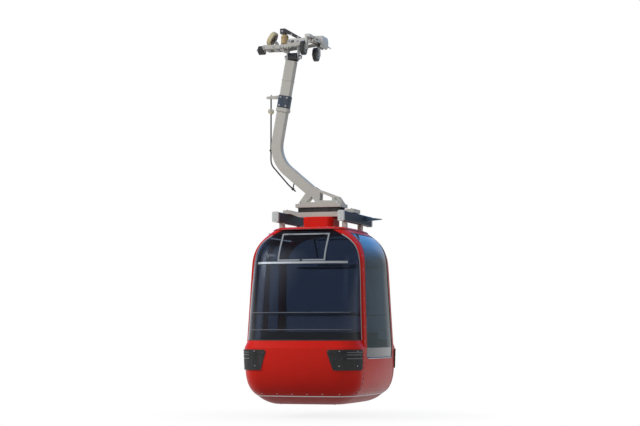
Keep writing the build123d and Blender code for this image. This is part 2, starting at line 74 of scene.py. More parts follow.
def plug(tree, node, **inputs):
    """Gives sockets a value or another socket: i0, i1 and so on by number, the others by name."""
    for key, value in inputs.items():
        numbered = key[0] == "i" and key[1:].isdigit()
        socket = node.inputs[int(key[1:]) if numbered else key.replace("_", " ")]
        if isinstance(value, bpy.types.NodeSocket):
            tree.links.new(value, socket)
        else:
            socket.default_value = value


def wire(tree, kind, settings=None, **inputs):
    """One node with these properties and sockets."""
    node = tree.nodes.new(f"ShaderNode{kind}")
    for key, value in (settings or {}).items():
        setattr(node, key, value)
    plug(tree, node, **inputs)
    return node


def reckoned(tree, operation, *values, clamped=False):
    """The result of one operation on values or sockets."""
    numbered = {f"i{k}": value for k, value in enumerate(values)}
    return wire(tree, "Math", {"operation": operation, "use_clamp": clamped}, **numbered).outputs[0]


def ranged(tree, value, low, high, to_low=0.0, to_high=1.0):
    """The value drawn from one range to another."""
    return wire(tree, "MapRange", i0=value, From_Min=low, From_Max=high, To_Min=to_low,
                To_Max=to_high).outputs[0]


def mixed(tree, share, first, second, blend="MIX"):
    """Two colours mixed by a share, each given as a colour or a socket."""
    first, second = [c if isinstance(c, bpy.types.NodeSocket) else (*c, 1) for c in (first, second)]
    return wire(tree, "Mix", {"data_type": "RGBA", "blend_type": blend}, i0=share, i6=first,
                i7=second).outputs[2]


def rays_that_see(tree, *kinds):
    """1 for the named kinds of ray."""
    rays = wire(tree, "LightPath")
    total = rays.outputs[kinds[0]]
    for kind in kinds[1:]:
        total = reckoned(tree, "MAXIMUM", total, rays.outputs[kind])
    return total


def to_output(tree, plain, shown, output):
    """Joins two shaders to a tree's output: shown for rays that see, and plain for the light they meet."""
    seen = rays_that_see(tree, "Is Camera Ray", "Is Glossy Ray", "Is Transmission Ray")
    either = wire(tree, "MixShader", Fac=seen, i1=plain.outputs[0], i2=shown.outputs[0])
    plug(tree, tree.nodes[output], Surface=either.outputs[0])


camera_data = bpy.data.cameras.new("camera")
camera_data.lens = eye_lens
camera = bpy.data.objects.new("camera", camera_data)
aimed(camera, (eye_distance * sin(eye_turn), -eye_distance * cos(eye_turn), underside + eye_height))
scene.camera = camera
scene.view_settings.view_transform = "Standard"

floor_drop, floor_reach, pale_paint, bounce_paint = 0.16, 70, 0.80, 0.26
clear_radius, white_radius, clear_share = 1.5, 5.0, 0.15
white = (1, 1, 1)
floor_data = bpy.data.meshes.new("studio_floor")
floor_data.from_pydata([(x * floor_reach, y * floor_reach, underside - floor_drop)
                        for x, y in ((-1, -1), (1, -1), (1, 1), (-1, 1))], [], [(0, 1, 2, 3)])
floor = bpy.data.objects.new("studio_floor", floor_data)
scene.collection.objects.link(floor)
floor_paint = bpy.data.materials.new("studio_floor_paint")
floor_paint.use_nodes = True
tree = floor_paint.node_tree
near_paint = tree.nodes["Principled BSDF"]
plug(tree, near_paint, Base_Color=(pale_paint, pale_paint, pale_paint, 1), Roughness=0.9)
bounced = wire(tree, "BsdfDiffuse", Color=(bounce_paint, bounce_paint, bounce_paint, 1))
far_white = wire(tree, "Emission", Color=(*white, 1))
where = wire(tree, "TexCoord").outputs["Object"]
away = wire(tree, "VectorMath", {"operation": "LENGTH"}, i0=where).outputs["Value"]
faded = ranged(tree, away, clear_radius, white_radius, clear_share, 1.0)
shown = wire(tree, "MixShader", Fac=faded, i1=near_paint.outputs[0], i2=far_white.outputs[0])
to_output(tree, bounced, shown, "Material Output")
floor_data.materials.append(floor_paint)

fill_low, fill_high, fill_strength = (0.90, 0.93, 0.97), (0.72, 0.84, 1.0), 0.5
dark_above, blue_above, dark_beside = (0.17, 0.20, 0.27), (0.20, 0.62, 1.4), (0.17, 0.21, 0.19)
highlight_way, highlight = (-0.69, -0.50, 0.53), (2.2, 2.4, 2.9)
world = bpy.data.worlds.new("studio_world")
scene.world = world
world.use_nodes = True
tree = world.node_tree
direction = wire(tree, "TexCoord").outputs["Generated"]
part = wire(tree, "SeparateXYZ", i0=direction).outputs
sky_fill = tree.nodes["Background"]
fill_tint = mixed(tree, ranged(tree, part["Z"], -0.05, 0.75), fill_low, fill_high)
plug(tree, sky_fill, Color=fill_tint, Strength=fill_strength)
behind = ranged(tree, part["Y"], 0.35, 0.65)
beside = reckoned(tree, "MULTIPLY", ranged(tree, part["X"], 0.08, 0.20), behind)
mirrored = mixed(tree, ranged(tree, part["Z"], 0.10, 0.28), mixed(tree, beside, white, dark_beside),
                 mixed(tree, behind, dark_above, blue_above))
towards = wire(tree, "VectorMath", {"operation": "DOT_PRODUCT"}, i0=direction, i1=highlight_way)
glow = reckoned(tree, "POWER", ranged(tree, towards.outputs["Value"], 0.87, 1.0), 1.4)
mirrored = mixed(tree, glow, mirrored, highlight, "ADD")
backdrop = mixed(tree, rays_that_see(tree, "Is Camera Ray", "Is Transmission Ray"), mirrored, white)
to_output(tree, sky_fill, wire(tree, "Background", Color=backdrop, Strength=1.0), "World Output")

softbox_size = 6.0
for name, place, power, colour in (("key", (-11.0, -8.0, 6.5), 1650, (1.0, 0.97, 0.92)),
                                   ("fill", (10, -8, 3.5), 230, (1, 1, 1)),
                                   ("back", (2.0, 11, 4.5), 200, (0.9, 0.95, 1.0))):
    lamp_data = bpy.data.lights.new(f"{name}_softbox", "AREA")
    lamp_data.size, lamp_data.energy, lamp_data.color = softbox_size, power, colour
    lamp = bpy.data.objects.new(f"{name}_softbox", lamp_data)
    lamp.visible_glossy = False
    aimed(lamp, place)


def shared_effect(name, output, **inputs):
    """A shader group with these inputs and one output, as the group, its inputs and its output's socket."""
    group = bpy.data.node_groups.new(name, "ShaderNodeTree")
    for key, value in inputs.items():
        kind = "NodeSocketVector" if isinstance(value, tuple) else "NodeSocketFloat"
        socket = group.interface.new_socket(name=key.replace("_", " "), in_out="INPUT", socket_type=kind)
        socket.default_value = value
    group.interface.new_socket(name=output, in_out="OUTPUT", socket_type="NodeSocketFloat")
    return group, group.nodes.new("NodeGroupInput").outputs, group.nodes.new("NodeGroupOutput").inputs[output]


def noise(tree, place, scale, detail, **more):
    """Noise at a place, from 0 to 1."""
    return wire(tree, "TexNoise", Vector=place, Scale=scale, Detail=detail, **more).outputs["Fac"]


def stretched(tree, factors):
    """The object's own coordinates, each multiplied by a factor."""
    place = wire(tree, "TexCoord").outputs["Object"]
    return wire(tree, "VectorMath", {"operation": "MULTIPLY"}, i0=place, i1=factors).outputs[0]


worn_edges, given, mask = shared_effect("worn_edges", "Mask", Reach=0.004, Amount=0.5, Patch_Scale=18.0)
tree = worn_edges
rounded = wire(tree, "Bevel", {"samples": 4}, Radius=given["Reach"]).outputs[0]
straight = wire(tree, "NewGeometry").outputs["Normal"]
likeness = wire(tree, "VectorMath", {"operation": "DOT_PRODUCT"}, i0=rounded, i1=straight)
edge = ranged(tree, likeness.outputs["Value"], 0.995, 0.88)
place = wire(tree, "TexCoord").outputs["Object"]
broken = ranged(tree, noise(tree, place, given["Patch Scale"], 4.0), 0.45, 0.62)
rubbed = reckoned(tree, "MULTIPLY", edge, broken)
tree.links.new(reckoned(tree, "MULTIPLY", rubbed, given["Amount"], clamped=True), mask)

settled_dust, given, mask = shared_effect("settled_dust", "Mask", Amount=0.3, Streak_Scale=3.0)
tree = settled_dust
place = stretched(tree, (4, 4, 0.7))
streaks = noise(tree, place, given["Streak Scale"], 6.0, Roughness=0.62)
facing = wire(tree, "NewGeometry").outputs["Normal"]
upward = wire(tree, "SeparateXYZ", i0=facing).outputs["Z"]
lies = reckoned(tree, "MULTIPLY", ranged(tree, streaks, 0.42, 0.78),
                ranged(tree, upward, -0.2, 1.0, 0.35, 1.0))
tree.links.new(reckoned(tree, "MULTIPLY", lies, given["Amount"], clamped=True), mask)

surface_grain, given, relief_height = shared_effect("surface_grain", "Height", Scale=60.0, Stretch=(1, 1, 1),
                                                    Coarse_Share=0.4)
tree = surface_grain
place = stretched(tree, given["Stretch"])
fine = noise(tree, place, given["Scale"], 5.0)
coarse = noise(tree, place, reckoned(tree, "MULTIPLY", given["Scale"], 0.12), 2.0)
both = wire(tree, "Mix", {"data_type": "FLOAT"}, i0=given["Coarse Share"], i2=fine, i3=coarse)
tree.links.new(both.outputs[0], relief_height)


def effect(tree, group, **inputs):
    """What a shared effect gives for these inputs."""
    return wire(tree, "Group", {"node_tree": group}, **inputs).outputs[0]


def finish(name, colour, second, rough, metal=0.0, grain=60.0, stretch=(1, 1, 1), bump=0.1, wear=0.0,
           bare=(0.45, 0.45, 0.45), reach=0.004, dust=0.3, dust_colour=(0.42, 0.39, 0.34), rough_spread=0.12,
           relief=None, **fixed):
    """A weathered finish: two close shades mottled together, worn edges, dust in streaks, and a grain."""
    mat = bpy.data.materials.new(name)
    mat.use_nodes = True
    tree = mat.node_tree
    bsdf = tree.nodes["Principled BSDF"]
    if relief:
        height = effect(tree, relief, Scale=grain)
    else:
        height = effect(tree, surface_grain, Scale=grain, Stretch=stretch)
    lying = effect(tree, settled_dust, Amount=dust)
    shade = mixed(tree, lying, mixed(tree, height, colour, second), dust_colour)
    if wear:
        shade = mixed(tree, effect(tree, worn_edges, Amount=wear, Reach=reach), shade, bare)
    uneven = ranged(tree, height, 0, 1, max(0.02, rough - rough_spread), min(1.0, rough + rough_spread))
    roughness = reckoned(tree, "MULTIPLY_ADD", lying, 0.35, uneven, clamped=True)
    raised = wire(tree, "Bump", Height=height, Strength=bump, Distance=0.002).outputs[0]
    plug(tree, bsdf, Base_Color=shade, Roughness=roughness, Normal=raised, Metallic=metal, **fixed)
    return mat


def dress(mat, *names):
    """Gives CAD nodes their finish."""
    for name in names:
        cad[name].data.materials.clear()
        cad[name].data.materials.append(mat)


def made(name, parts, mat, body="cabin", corner=38):
    """A piece built here from (points, faces) pairs, smooth up to a corner angle."""
    points, faces = [], []
    for more_points, more_faces in parts:
        faces += [tuple(i + len(points) for i in face) for face in more_faces]
        points += [tuple(p) for p in more_points]
    data = bpy.data.meshes.new(name)
    data.from_pydata(points, [], faces)
    mesh = bmesh.new()
    mesh.from_mesh(data)
    bmesh.ops.recalc_face_normals(mesh, faces=mesh.faces)
    mesh.to_mesh(data)
    mesh.free()
    data.shade_smooth()
    data.set_sharp_from_angle(angle=radians(corner))
    data.materials.append(mat)
    piece = bpy.data.objects.new(name, data)
    scene.collection.objects.link(piece)
    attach(piece, body)
    return piece


def turned(rings, at, axis, sides=24):
    """Rings of (radius, height) stacked along an axis; (radius, height, 6) is a hexagon."""
    axis = Vector(axis).normalized()
    side = axis.orthogonal().normalized()
    other = axis.cross(side)
    points, faces = [], []
    for radius, height, *corners in rings:
        for k in range(sides):
            angle = 2 * pi * k / sides
            r = radius
            if corners:
                step = 2 * pi / corners[0]
                r = radius * cos(step / 2) / cos(angle % step - step / 2)
            points.append(Vector(at) + axis * height + (side * cos(angle) + other * sin(angle)) * r)
    for i in range(len(rings) - 1):
        for k in range(sides):
            m = (k + 1) % sides
            faces.append((i * sides + k, i * sides + m, (i + 1) * sides + m, (i + 1) * sides + k))
    last = (len(rings) - 1) * sides
    return points, faces + [tuple(range(sides))[::-1], tuple(range(last, last + sides))]


def drawn_along(path, profile, closed=False):
    """A profile of (across, proud) points drawn along a path of (point, outward normal) pairs."""
    points, faces = [], []
    n, m = len(path), len(profile)
    for i, (point, normal) in enumerate(path):
        before = path[i - 1][0] if i or closed else point
        after = path[(i + 1) % n][0] if i < n - 1 or closed else point
        along = (after - before).normalized()
        across = along.cross(normal).normalized()
        out = across.cross(along)
        points += [point + across * a + out * b for a, b in profile]
    for i in range(n if closed else n - 1):
        j = (i + 1) % n
        faces += [(i * m + k, i * m + (k + 1) % m, j * m + (k + 1) % m, j * m + k) for k in range(m)]
    if not closed:
        faces += [tuple(range(m))[::-1], tuple(range((n - 1) * m, n * m))]
    return points, faces


def flat_strip(width, thickness, sink=0.001):
    """Profile of a flat strip with softened edges, its back sunk a little."""
    w, t, c = width / 2, thickness, min(thickness, width / 2) * 0.4
    return [(-w, -sink), (-w, t - c), (-w + c, t), (w - c, t), (w, t - c), (w, -sink)]


def hex_bolt(r):
    """Rings of a hexagon-head bolt on its washer."""
    return [(1.75 * r, -r * 0.2), (1.75 * r, r * 0.22), (1.12 * r, r * 0.22, 6), (1.12 * r, r * 0.95, 6),
            (r * 0.96, r * 1.08), (r * 0.5, r * 1.08)]


def fastened(name, rings, seats, body="cabin", sides=12):
    """The same steel fastener at each (point, outward normal)."""
    parts = [turned(rings, point, normal, sides) for point, normal in seats]
    made(name, parts, steel_screws, body)


def surface_of(*names):
    """CAD nodes as one surface for rays to meet."""
    points, faces = [], []
    for name in names:
        data = cad[name].data
        faces += [[len(points) + i for i in polygon.vertices] for polygon in data.polygons]
        points += [v.co.copy() for v in data.vertices]
    return BVHTree.FromPolygons(points, faces)


def met(surface, start, way):
    """The (point, outward normal) where a ray from start first meets the surface, or None."""
    way = Vector(way).normalized()
    point, normal, _, _ = surface.ray_cast(Vector(start), way)
    if point is None:
        return None
    return point, (normal if normal.dot(way) < 0 else -normal)


def met_round(surface, angle, z):
    """Where a level ray from well outside, at an angle round the middle, meets the surface."""
    across, along = cos(angle), sin(angle)
    return met(surface, (3 * across, 3 * along, z), (-across, -along, 0))


def ring_on(surface, z, count):
    """Points right round a surface at one height."""
    return [met_round(surface, 2 * pi * k / count, z) for k in range(count)]


# The floor pan's red is a darker copy of the signal red: painted shade for the underside.
shaded_pan_red = finish("underfloor_red_painted_shade", (0.46, 0.014, 0.010), (0.34, 0.012, 0.010), 0.5, grain=40, bump=0.15,
                 wear=0.4, bare=(0.25, 0.1, 0.08), dust=0.35, dust_colour=(0.16, 0.10, 0.08))
trim_aluminium = finish("satin_aluminium_trim", (0.60, 0.61, 0.60), (0.50, 0.51, 0.50), 0.36, metal=0.6,
                        grain=70, bump=0.06, wear=0.3, bare=(0.8, 0.8, 0.8))
steel_screws = finish("stainless_screws", (0.55, 0.55, 0.56), (0.42, 0.42, 0.43), 0.3, metal=0.9, grain=160,
                      bump=0.08, dust=0.2)
dress(shaded_pan_red, "floor_pan")
tub_surface = surface_of("floor_pan", "lower_panels_end", "lower_panel_inboard", "lower_panel_outboard")
trim_height, trim_points = underside + 0.099, 168
trim_path = ring_on(tub_surface, trim_height, trim_points)
trim = drawn_along(trim_path, flat_strip(0.014, 0.0035), closed=True)
made("floor_edge_trim", [trim], trim_aluminium)
pan_surface = surface_of("floor_pan")
pan_bolt_x, pan_bolt_rows = 0.33, (-0.54, -0.18, 0.18, 0.54)
pan_seats = [met(pan_surface, (x, y, underside - 1), (0, 0, 1)) for x in (-pan_bolt_x, pan_bolt_x)
             for y in pan_bolt_rows]
fastened("pan_bolts", hex_bolt(0.008), pan_seats)

# Lower panels: pressed aluminium skins, sprayed gloss signal red and lacquered. Their edges butt under the
# posts on a sealed joint, held by blind rivets, with screws along the foot.


def round_bead(radius, sides=10, lift=0.0, flat=1.0):
    """Profile of a round or oval bead."""
    around = [2 * pi * k / sides for k in range(sides)]
    return [(radius * cos(a), lift + flat * radius * sin(a)) for a in around]


def button_head(r):
    """Rings of a button-head screw with a hexagon socket."""
    return [(r, -r * 0.3), (r, 0.08 * r), (r * 0.93, r * 0.3), (r * 0.72, r * 0.52), (r * 0.48, r * 0.6),
            (r * 0.44, r * 0.6, 6), (r * 0.40, r * 0.25, 6)]


def met_side(surface, sx, y, z):
    """Where a level ray from one side of the cabin meets the surface."""
    return met(surface, (sx * 2, y, z), (-sx, 0, 0))


def rivet_head(r):
    """Rings of a blind rivet's domed head."""
    return [(r, -r * 0.3), (r, 0.05 * r), (r * 0.86, r * 0.3), (r * 0.55, r * 0.46), (r * 0.3, r * 0.48),
            (r * 0.26, r * 0.36)]


signal_red = finish("signal_red_lacquer", (0.76, 0.022, 0.012), (0.66, 0.016, 0.010), 0.34, grain=5,
                    bump=0.02, wear=0.3, bare=(0.45, 0.14, 0.12), dust=0.10, dust_colour=(0.34, 0.08, 0.06),
                    rough_spread=0.05, Specular_IOR_Level=0.08, Coat_Weight=0.05, Coat_Roughness=0.06)
black_sealant = finish("black_joint_sealant", (0.018, 0.018, 0.019), (0.032, 0.031, 0.03), 0.5, grain=90,
                       bump=0.15, dust=0.35)
dress(signal_red, "lower_panels_end", "lower_panel_inboard", "lower_panel_outboard", "waist_ledges",
      "side_hoops", "roof_cap", "roof_hump")
seam_y, seam_shift, panel_foot, panel_top = 0.645, 0.0005, underside + 0.115, underside + 0.648
rivet_heights, last_rivet_after, rivet_before, rivet_after = range(150, 640, 60), 380, -0.016, 0.018
screw_height, screw_pitch, doorway_side = underside + 0.125, 12, -0.62
corners = [(sx, sy) for sx in (-1, 1) for sy in (-1, 1)]
seams, rivets = [], []
for sx, sy in corners:
    steps = [panel_foot + (panel_top - panel_foot) * k / 24 for k in range(25)]
    seam = [met_side(tub_surface, sx, sy * (seam_y + seam_shift), z) for z in steps]
    seams.append(drawn_along(seam, round_bead(0.0028, 8)))
    for z in rivet_heights:
        for shift in (rivet_before, rivet_after) if z < last_rivet_after else (rivet_before,):
            rivets.append(met_side(tub_surface, sx, sy * (seam_y + shift), underside + z / 1000))
made("panel_seams", seams, black_sealant)
fastened("panel_rivets", rivet_head(0.0045), rivets, sides=10)
foot_angles = [radians(a) for a in range(0, 360, screw_pitch)]
foot_seats = [met_round(tub_surface, a, screw_height) for a in foot_angles if cos(a) > doorway_side]
fastened("panel_foot_screws", button_head(0.006), foot_seats)

# Corner bumpers: moulded black rubber with three grooves, screwed into seats in the panels' corners. A pale
# grey strip in each groove is a painted highlight, for the light caught along the groove's edge.


def respaced(path, gap, closed):
    """The path's points evenly spaced."""
    if closed:
        path = path + path[:1]
    lengths = [0.0]
    for (p, _), (q, _) in zip(path, path[1:]):
        lengths.append(lengths[-1] + (q - p).length)
    count = max(4, round(lengths[-1] / gap))
    even, i = [], 0
    for k in range(count if closed else count + 1):
        at = lengths[-1] * k / count
        while i < len(path) - 2 and lengths[i + 1] < at:
            i += 1
        share = (at - lengths[i]) / max(lengths[i + 1] - lengths[i], 1e-9)
        normal = path[i][1].lerp(path[i + 1][1], share).normalized()
        even.append((path[i][0].lerp(path[i + 1][0], share), normal))
    return even


# The rubber's pale worn edges are scuffing, and along the grooves they are also a painted highlight.
bumper_rubber = finish("moulded_bumper_rubber", (0.010, 0.011, 0.012), (0.020, 0.020, 0.020), 0.55, grain=140,
                       bump=0.25, wear=0.9, bare=(0.22, 0.22, 0.21), dust=0.22, Specular_IOR_Level=0.3)
# Pale grey for the groove strips: a painted highlight.
groove_highlight_grey = finish("painted_groove_highlight", (0.26, 0.27, 0.27), (0.20, 0.21, 0.21), 0.5, grain=140)
dress(bumper_rubber, "corner_bumpers")
bumper_surface = surface_of("corner_bumpers")
screw_angles, screw_heights, groove_heights = (38, 50, 62), (0.45, 0.617), (0.533, 0.577, 0.605)
groove_start, groove_sweep, groove_clear = 10, 70, 0.3
bumper_hits = []
for sx, sy in corners:
    for angle in screw_angles:
        a = atan2(sy * sin(radians(angle)), sx * cos(radians(angle)))
        bumper_hits += [met_round(bumper_surface, a, underside + z) for z in screw_heights]
groove_highlight_strips = []
for height in groove_heights:
    for quarter in range(4):
        path = []
        for k in range(81):
            a = radians(90 * quarter + groove_start + groove_sweep * k / 80)
            hit = met_round(bumper_surface, a, underside + height)
            if hit and hit[0].x * cos(a) > groove_clear and hit[0].y * sin(a) > groove_clear:
                path.append(hit)
        groove_highlight_strips.append(drawn_along(respaced(path, 0.012, False)[1:-1], flat_strip(0.0085, 0.0045)))
made("bumper_groove_highlights", groove_highlight_strips, groove_highlight_grey)
fastened("bumper_screws", button_head(0.007), [hit for hit in bumper_hits if hit])

# Waist ledges and side hoops: red pressed ledges under the end windows, and extruded posts with a header
# round each side. Screw heads run up the posts, and a rain gutter is bonded on over the doorway.
hoop_surface = surface_of("side_hoops")
post_foot, post_lean, post_screw_shift = 0.600, 0.100 / 1.646, 0.022
screw_foot, screw_step, gutter_height, gutter_half = 0.73, 0.165, underside + 1.992, 0.50


def post_middle(height):
    """Distance of a post's centre line from the middle of the side, for a height above the underside."""
    return post_foot - post_lean * (height - 0.654)


hoop_seats = []
for sx, sy in corners:
    for height in [screw_foot + screw_step * k for k in range(8)]:
        y = sy * (post_middle(height) + post_screw_shift)
        hoop_seats.append(met_side(hoop_surface, sx, y, underside + height))
fastened("hoop_screws", button_head(0.0055), hoop_seats)
gutter_path = [met_side(hoop_surface, -1, -gutter_half + 0.05 * k, gutter_height) for k in range(21)]
gutter_profile = [(-0.004, -0.001), (-0.004, 0.012), (0.010, 0.014), (0.010, 0.011), (-0.001, 0.009),
                  (-0.001, -0.001)]
made("door_gutter", [drawn_along(gutter_path, gutter_profile)], trim_aluminium)

# Windows: blown acrylic, tinted navy in the mass, bright and hard outside. The inboard window sits in a black
# rubber gasket. Pale seals run up the end windows beside the posts, and a pale strip crosses each end.
tinted = bpy.data.materials.new("navy_tinted_acrylic")
tinted.use_nodes = True
tree = tinted.node_tree
pane_bsdf = tree.nodes["Principled BSDF"]
pane_bsdf.inputs["Transmission Weight"].default_value = 1.0
pane_bsdf.inputs["IOR"].default_value = 1.36
waves = effect(tree, surface_grain, Scale=9.0, Coarse_Share=0.8)
navy = mixed(tree, waves, (0.110, 0.142, 0.205), (0.092, 0.122, 0.182))
pane_relief = wire(tree, "Bump", Height=waves, Strength=0.01, Distance=0.01).outputs[0]
plug(tree, pane_bsdf, Base_Color=navy, Roughness=ranged(tree, waves, 0, 1, 0.01, 0.07), Normal=pane_relief)
dress(tinted, "window_inboard", "end_windows", "vent_panes", "door_pane_front", "door_pane_rear")
gasket_rubber = finish("black_gasket_rubber", (0.016, 0.016, 0.017), (0.030, 0.030, 0.030), 0.5, grain=150,
                       bump=0.12, dust=0.25)
pale_seal = finish("pale_window_seal", (0.42, 0.43, 0.44), (0.34, 0.35, 0.36), 0.5, grain=90, bump=0.08)
rib_grey = finish("grey_moulded_rib", (0.13, 0.14, 0.16), (0.10, 0.11, 0.13), 0.45, grain=120, bump=0.08)


def faces_out(face):
    """Whether a face of the body's skin looks outwards: neither its back nor a cut edge."""
    middle = face.calc_center_median()
    away = Vector((middle.x / 0.49, middle.y / 0.90, 0)).normalized()
    return face.normal.dot(away) > 0.5


def rims(name, keep, gap=0.02):
    """Outer edges of a skin as (evenly spaced path, closed) pairs, of those whose middle keep() takes."""
    mesh = bmesh.new()
    mesh.from_mesh(cad[name].data)
    bmesh.ops.remove_doubles(mesh, verts=mesh.verts, dist=2e-5)
    mesh.verts.index_update()
    mesh.verts.ensure_lookup_table()
    links, normals = {}, {}
    for edge in mesh.edges:
        outer = [face for face in edge.link_faces if faces_out(face)]
        a, b = edge.verts
        if len(edge.link_faces) != 2 or len(outer) != 1 or not keep((a.co + b.co) / 2):
            continue
        for v, w in ((a, b), (b, a)):
            links.setdefault(v.index, []).append(w.index)
            normals[v.index] = normals.get(v.index, Vector()) + outer[0].normal
    paths, used = [], set()
    for start in sorted(links, key=lambda i: (len(links[i]), i)):
        if start in used:
            continue
        chain, onward = [], [start]
        while onward:
            chain.append(onward[0])
            used.add(onward[0])
            onward = [i for i in links[onward[0]] if i not in used]
        closed = len(chain) > 3 and chain[0] in links[chain[-1]]
        path = [(mesh.verts[i].co.copy(), normals[i].normalized()) for i in chain]
        if len(path) > 2:
            paths.append((respaced(path, gap, closed), closed))
    mesh.free()
    return paths


def beads(paths, profile):
    """A profile drawn along each of several paths."""
    return [drawn_along(path, profile, closed) for path, closed in paths]


def across_end(height, reach, sy):
    """A level line over the end glass, reach to each side of its middle."""
    return [met(end_glass, (-reach + 2 * reach * k / 40, sy * 2, underside + height), (0, -sy, 0))
            for k in range(41)]


glass_foot, glass_top, post_edge_x, post_edge_y = underside + 0.743, underside + 2.03, 0.42, 0.68
crossbar_height, crossbar_half, crossbar_thickness = 1.640, 0.545, 0.006
rib_rows = ((1.060, 0.60), (0.862, 0.62))
made("inboard_gasket", beads(rims("window_inboard", lambda p: True), round_bead(0.0065, 10, 0.0005, 0.8)),
     gasket_rubber)
post_edges = rims("end_windows", lambda p: abs(p.x) > post_edge_x and abs(p.y) < post_edge_y
                  and glass_foot + 0.01 < p.z < glass_top)
made("end_window_seals", beads(post_edges, round_bead(0.0095, 10, 0.0, 0.6)), pale_seal)
foot_edges = rims("end_windows", lambda p: p.z < glass_foot + 0.006)
made("end_window_foot_gasket", beads(foot_edges, round_bead(0.005, 10, 0.001)), gasket_rubber)
end_glass = surface_of("end_windows")
crossbars, crossbar_seats, ribs = [], [], []
for sy in (-1, 1):
    path = across_end(crossbar_height, crossbar_half, sy)
    crossbars.append(drawn_along(path, flat_strip(0.026, crossbar_thickness)))
    crossbar_seats += [(path[k][0] + path[k][1] * crossbar_thickness, path[k][1]) for k in (1, 8, 20, 32, 39)]
    for height, reach in rib_rows:
        ribs.append(drawn_along(across_end(height, reach, sy), flat_strip(0.008, 0.0025)))
made("end_window_crossbars", crossbars, trim_aluminium)
made("end_window_ribs", ribs, rib_grey)
fastened("crossbar_screws", button_head(0.0035), crossbar_seats)
sill_surface = surface_of("lower_panel_inboard")
sill_height, sill_half = underside + 0.530, 0.50
sill_path = [met_side(sill_surface, 1, -sill_half + 2 * sill_half * k / 24, sill_height) for k in range(25)]
made("inboard_sill_strip", [drawn_along(sill_path, flat_strip(0.009, 0.003))], trim_aluminium)

# Vents: top-hung flaps of the same tinted acrylic at both ends. Each closes on a pale moulded frame bedded on
# the window, hangs on two steel hinges, and is held shut by a black catch.
pale_moulding = finish("pale_vent_moulding", (0.33, 0.35, 0.37), (0.27, 0.29, 0.31), 0.45, grain=120)
dress(pale_moulding, "vent_frames")
vent_surface = surface_of("vent_frames", "vent_panes", "end_windows")
hinge_x, hinge_height, hinge_lift, knuckle_pitch, catch_height = 0.19, 1.981, 0.005, 0.022, 1.669
knuckle = [(0.006, -0.009), (0.007, -0.008), (0.007, 0.008), (0.006, 0.009)]
catch_base = [(0.016, -0.002), (0.016, 0.004), (0.013, 0.008), (0.008, 0.009)]
catch_knob = [(0.005, 0), (0.005, 0.014), (0.004, 0.016)]
hinges, catches = [], []
for sy in (-1, 1):
    for x in (-hinge_x, hinge_x):
        point, normal = met(vent_surface, (x, sy * 2, underside + hinge_height), (0, -sy, 0))
        for shift in (-knuckle_pitch, 0, knuckle_pitch):
            hinges.append(turned(knuckle, point + normal * hinge_lift + Vector((shift, 0, 0)), (1, 0, 0), 14))
    point, normal = met(vent_surface, (0, sy * 2, underside + catch_height), (0, -sy, 0))
    catches += [turned(catch_base, point, normal, 24), turned(catch_knob, point, normal, 16)]
made("vent_hinges", hinges, steel_screws)
made("vent_catches", catches, gasket_rubber)

# Doors: red leaves with a tinted pane in a black gasket, rubber seals on their edges and a finger guard
# where they meet. Each hangs on two gooseneck swing arms of black steel, pinned to jamb and leaf brackets.
# The upper leaf bracket is clamped to the pane.
black_steel = finish("black_enamelled_steel", (0.020, 0.020, 0.022), (0.035, 0.035, 0.038), 0.36, grain=70,
                     bump=0.12, wear=0.5, bare=(0.33, 0.32, 0.31), dust=0.25)
dress(black_steel, "door_jamb_brackets")
arm_heights, arm_pivots = (0.560, 1.700), ((-0.650, 0.508), (-0.620, 0.446))
arm_reach, pin_above_arm = 0.250, 0.013
light_foot, light_top, light_side, light_meeting = underside + 0.59, underside + 1.90, 0.50, 0.05
leaf_foot, leaf_top, leaf_side = underside + 0.16, underside + 1.94, 0.485
guard_y, guard_length = 0.016, 1.78
clamp_y, clamp_z, clamp_screw_half = arm_pivots[1][1] - arm_reach, underside + arm_heights[1] - 0.025, 0.027
plate_thickness, screw_rows, screw_places = 0.005, (0.30, 0.535), (0.07, 0.228, 0.288, 0.49)
pin_cap = [(0.013, -0.001), (0.013, 0.002), (0.009, 0.004), (0.004, 0.0045)]


def level_strip(middle, normal, half_length, profile):
    """A strip that lies lengthways on a pane, about a point."""
    line = [(middle + Vector((0, shift, 0)), normal) for shift in (-half_length, 0, half_length)]
    return drawn_along(line, profile)


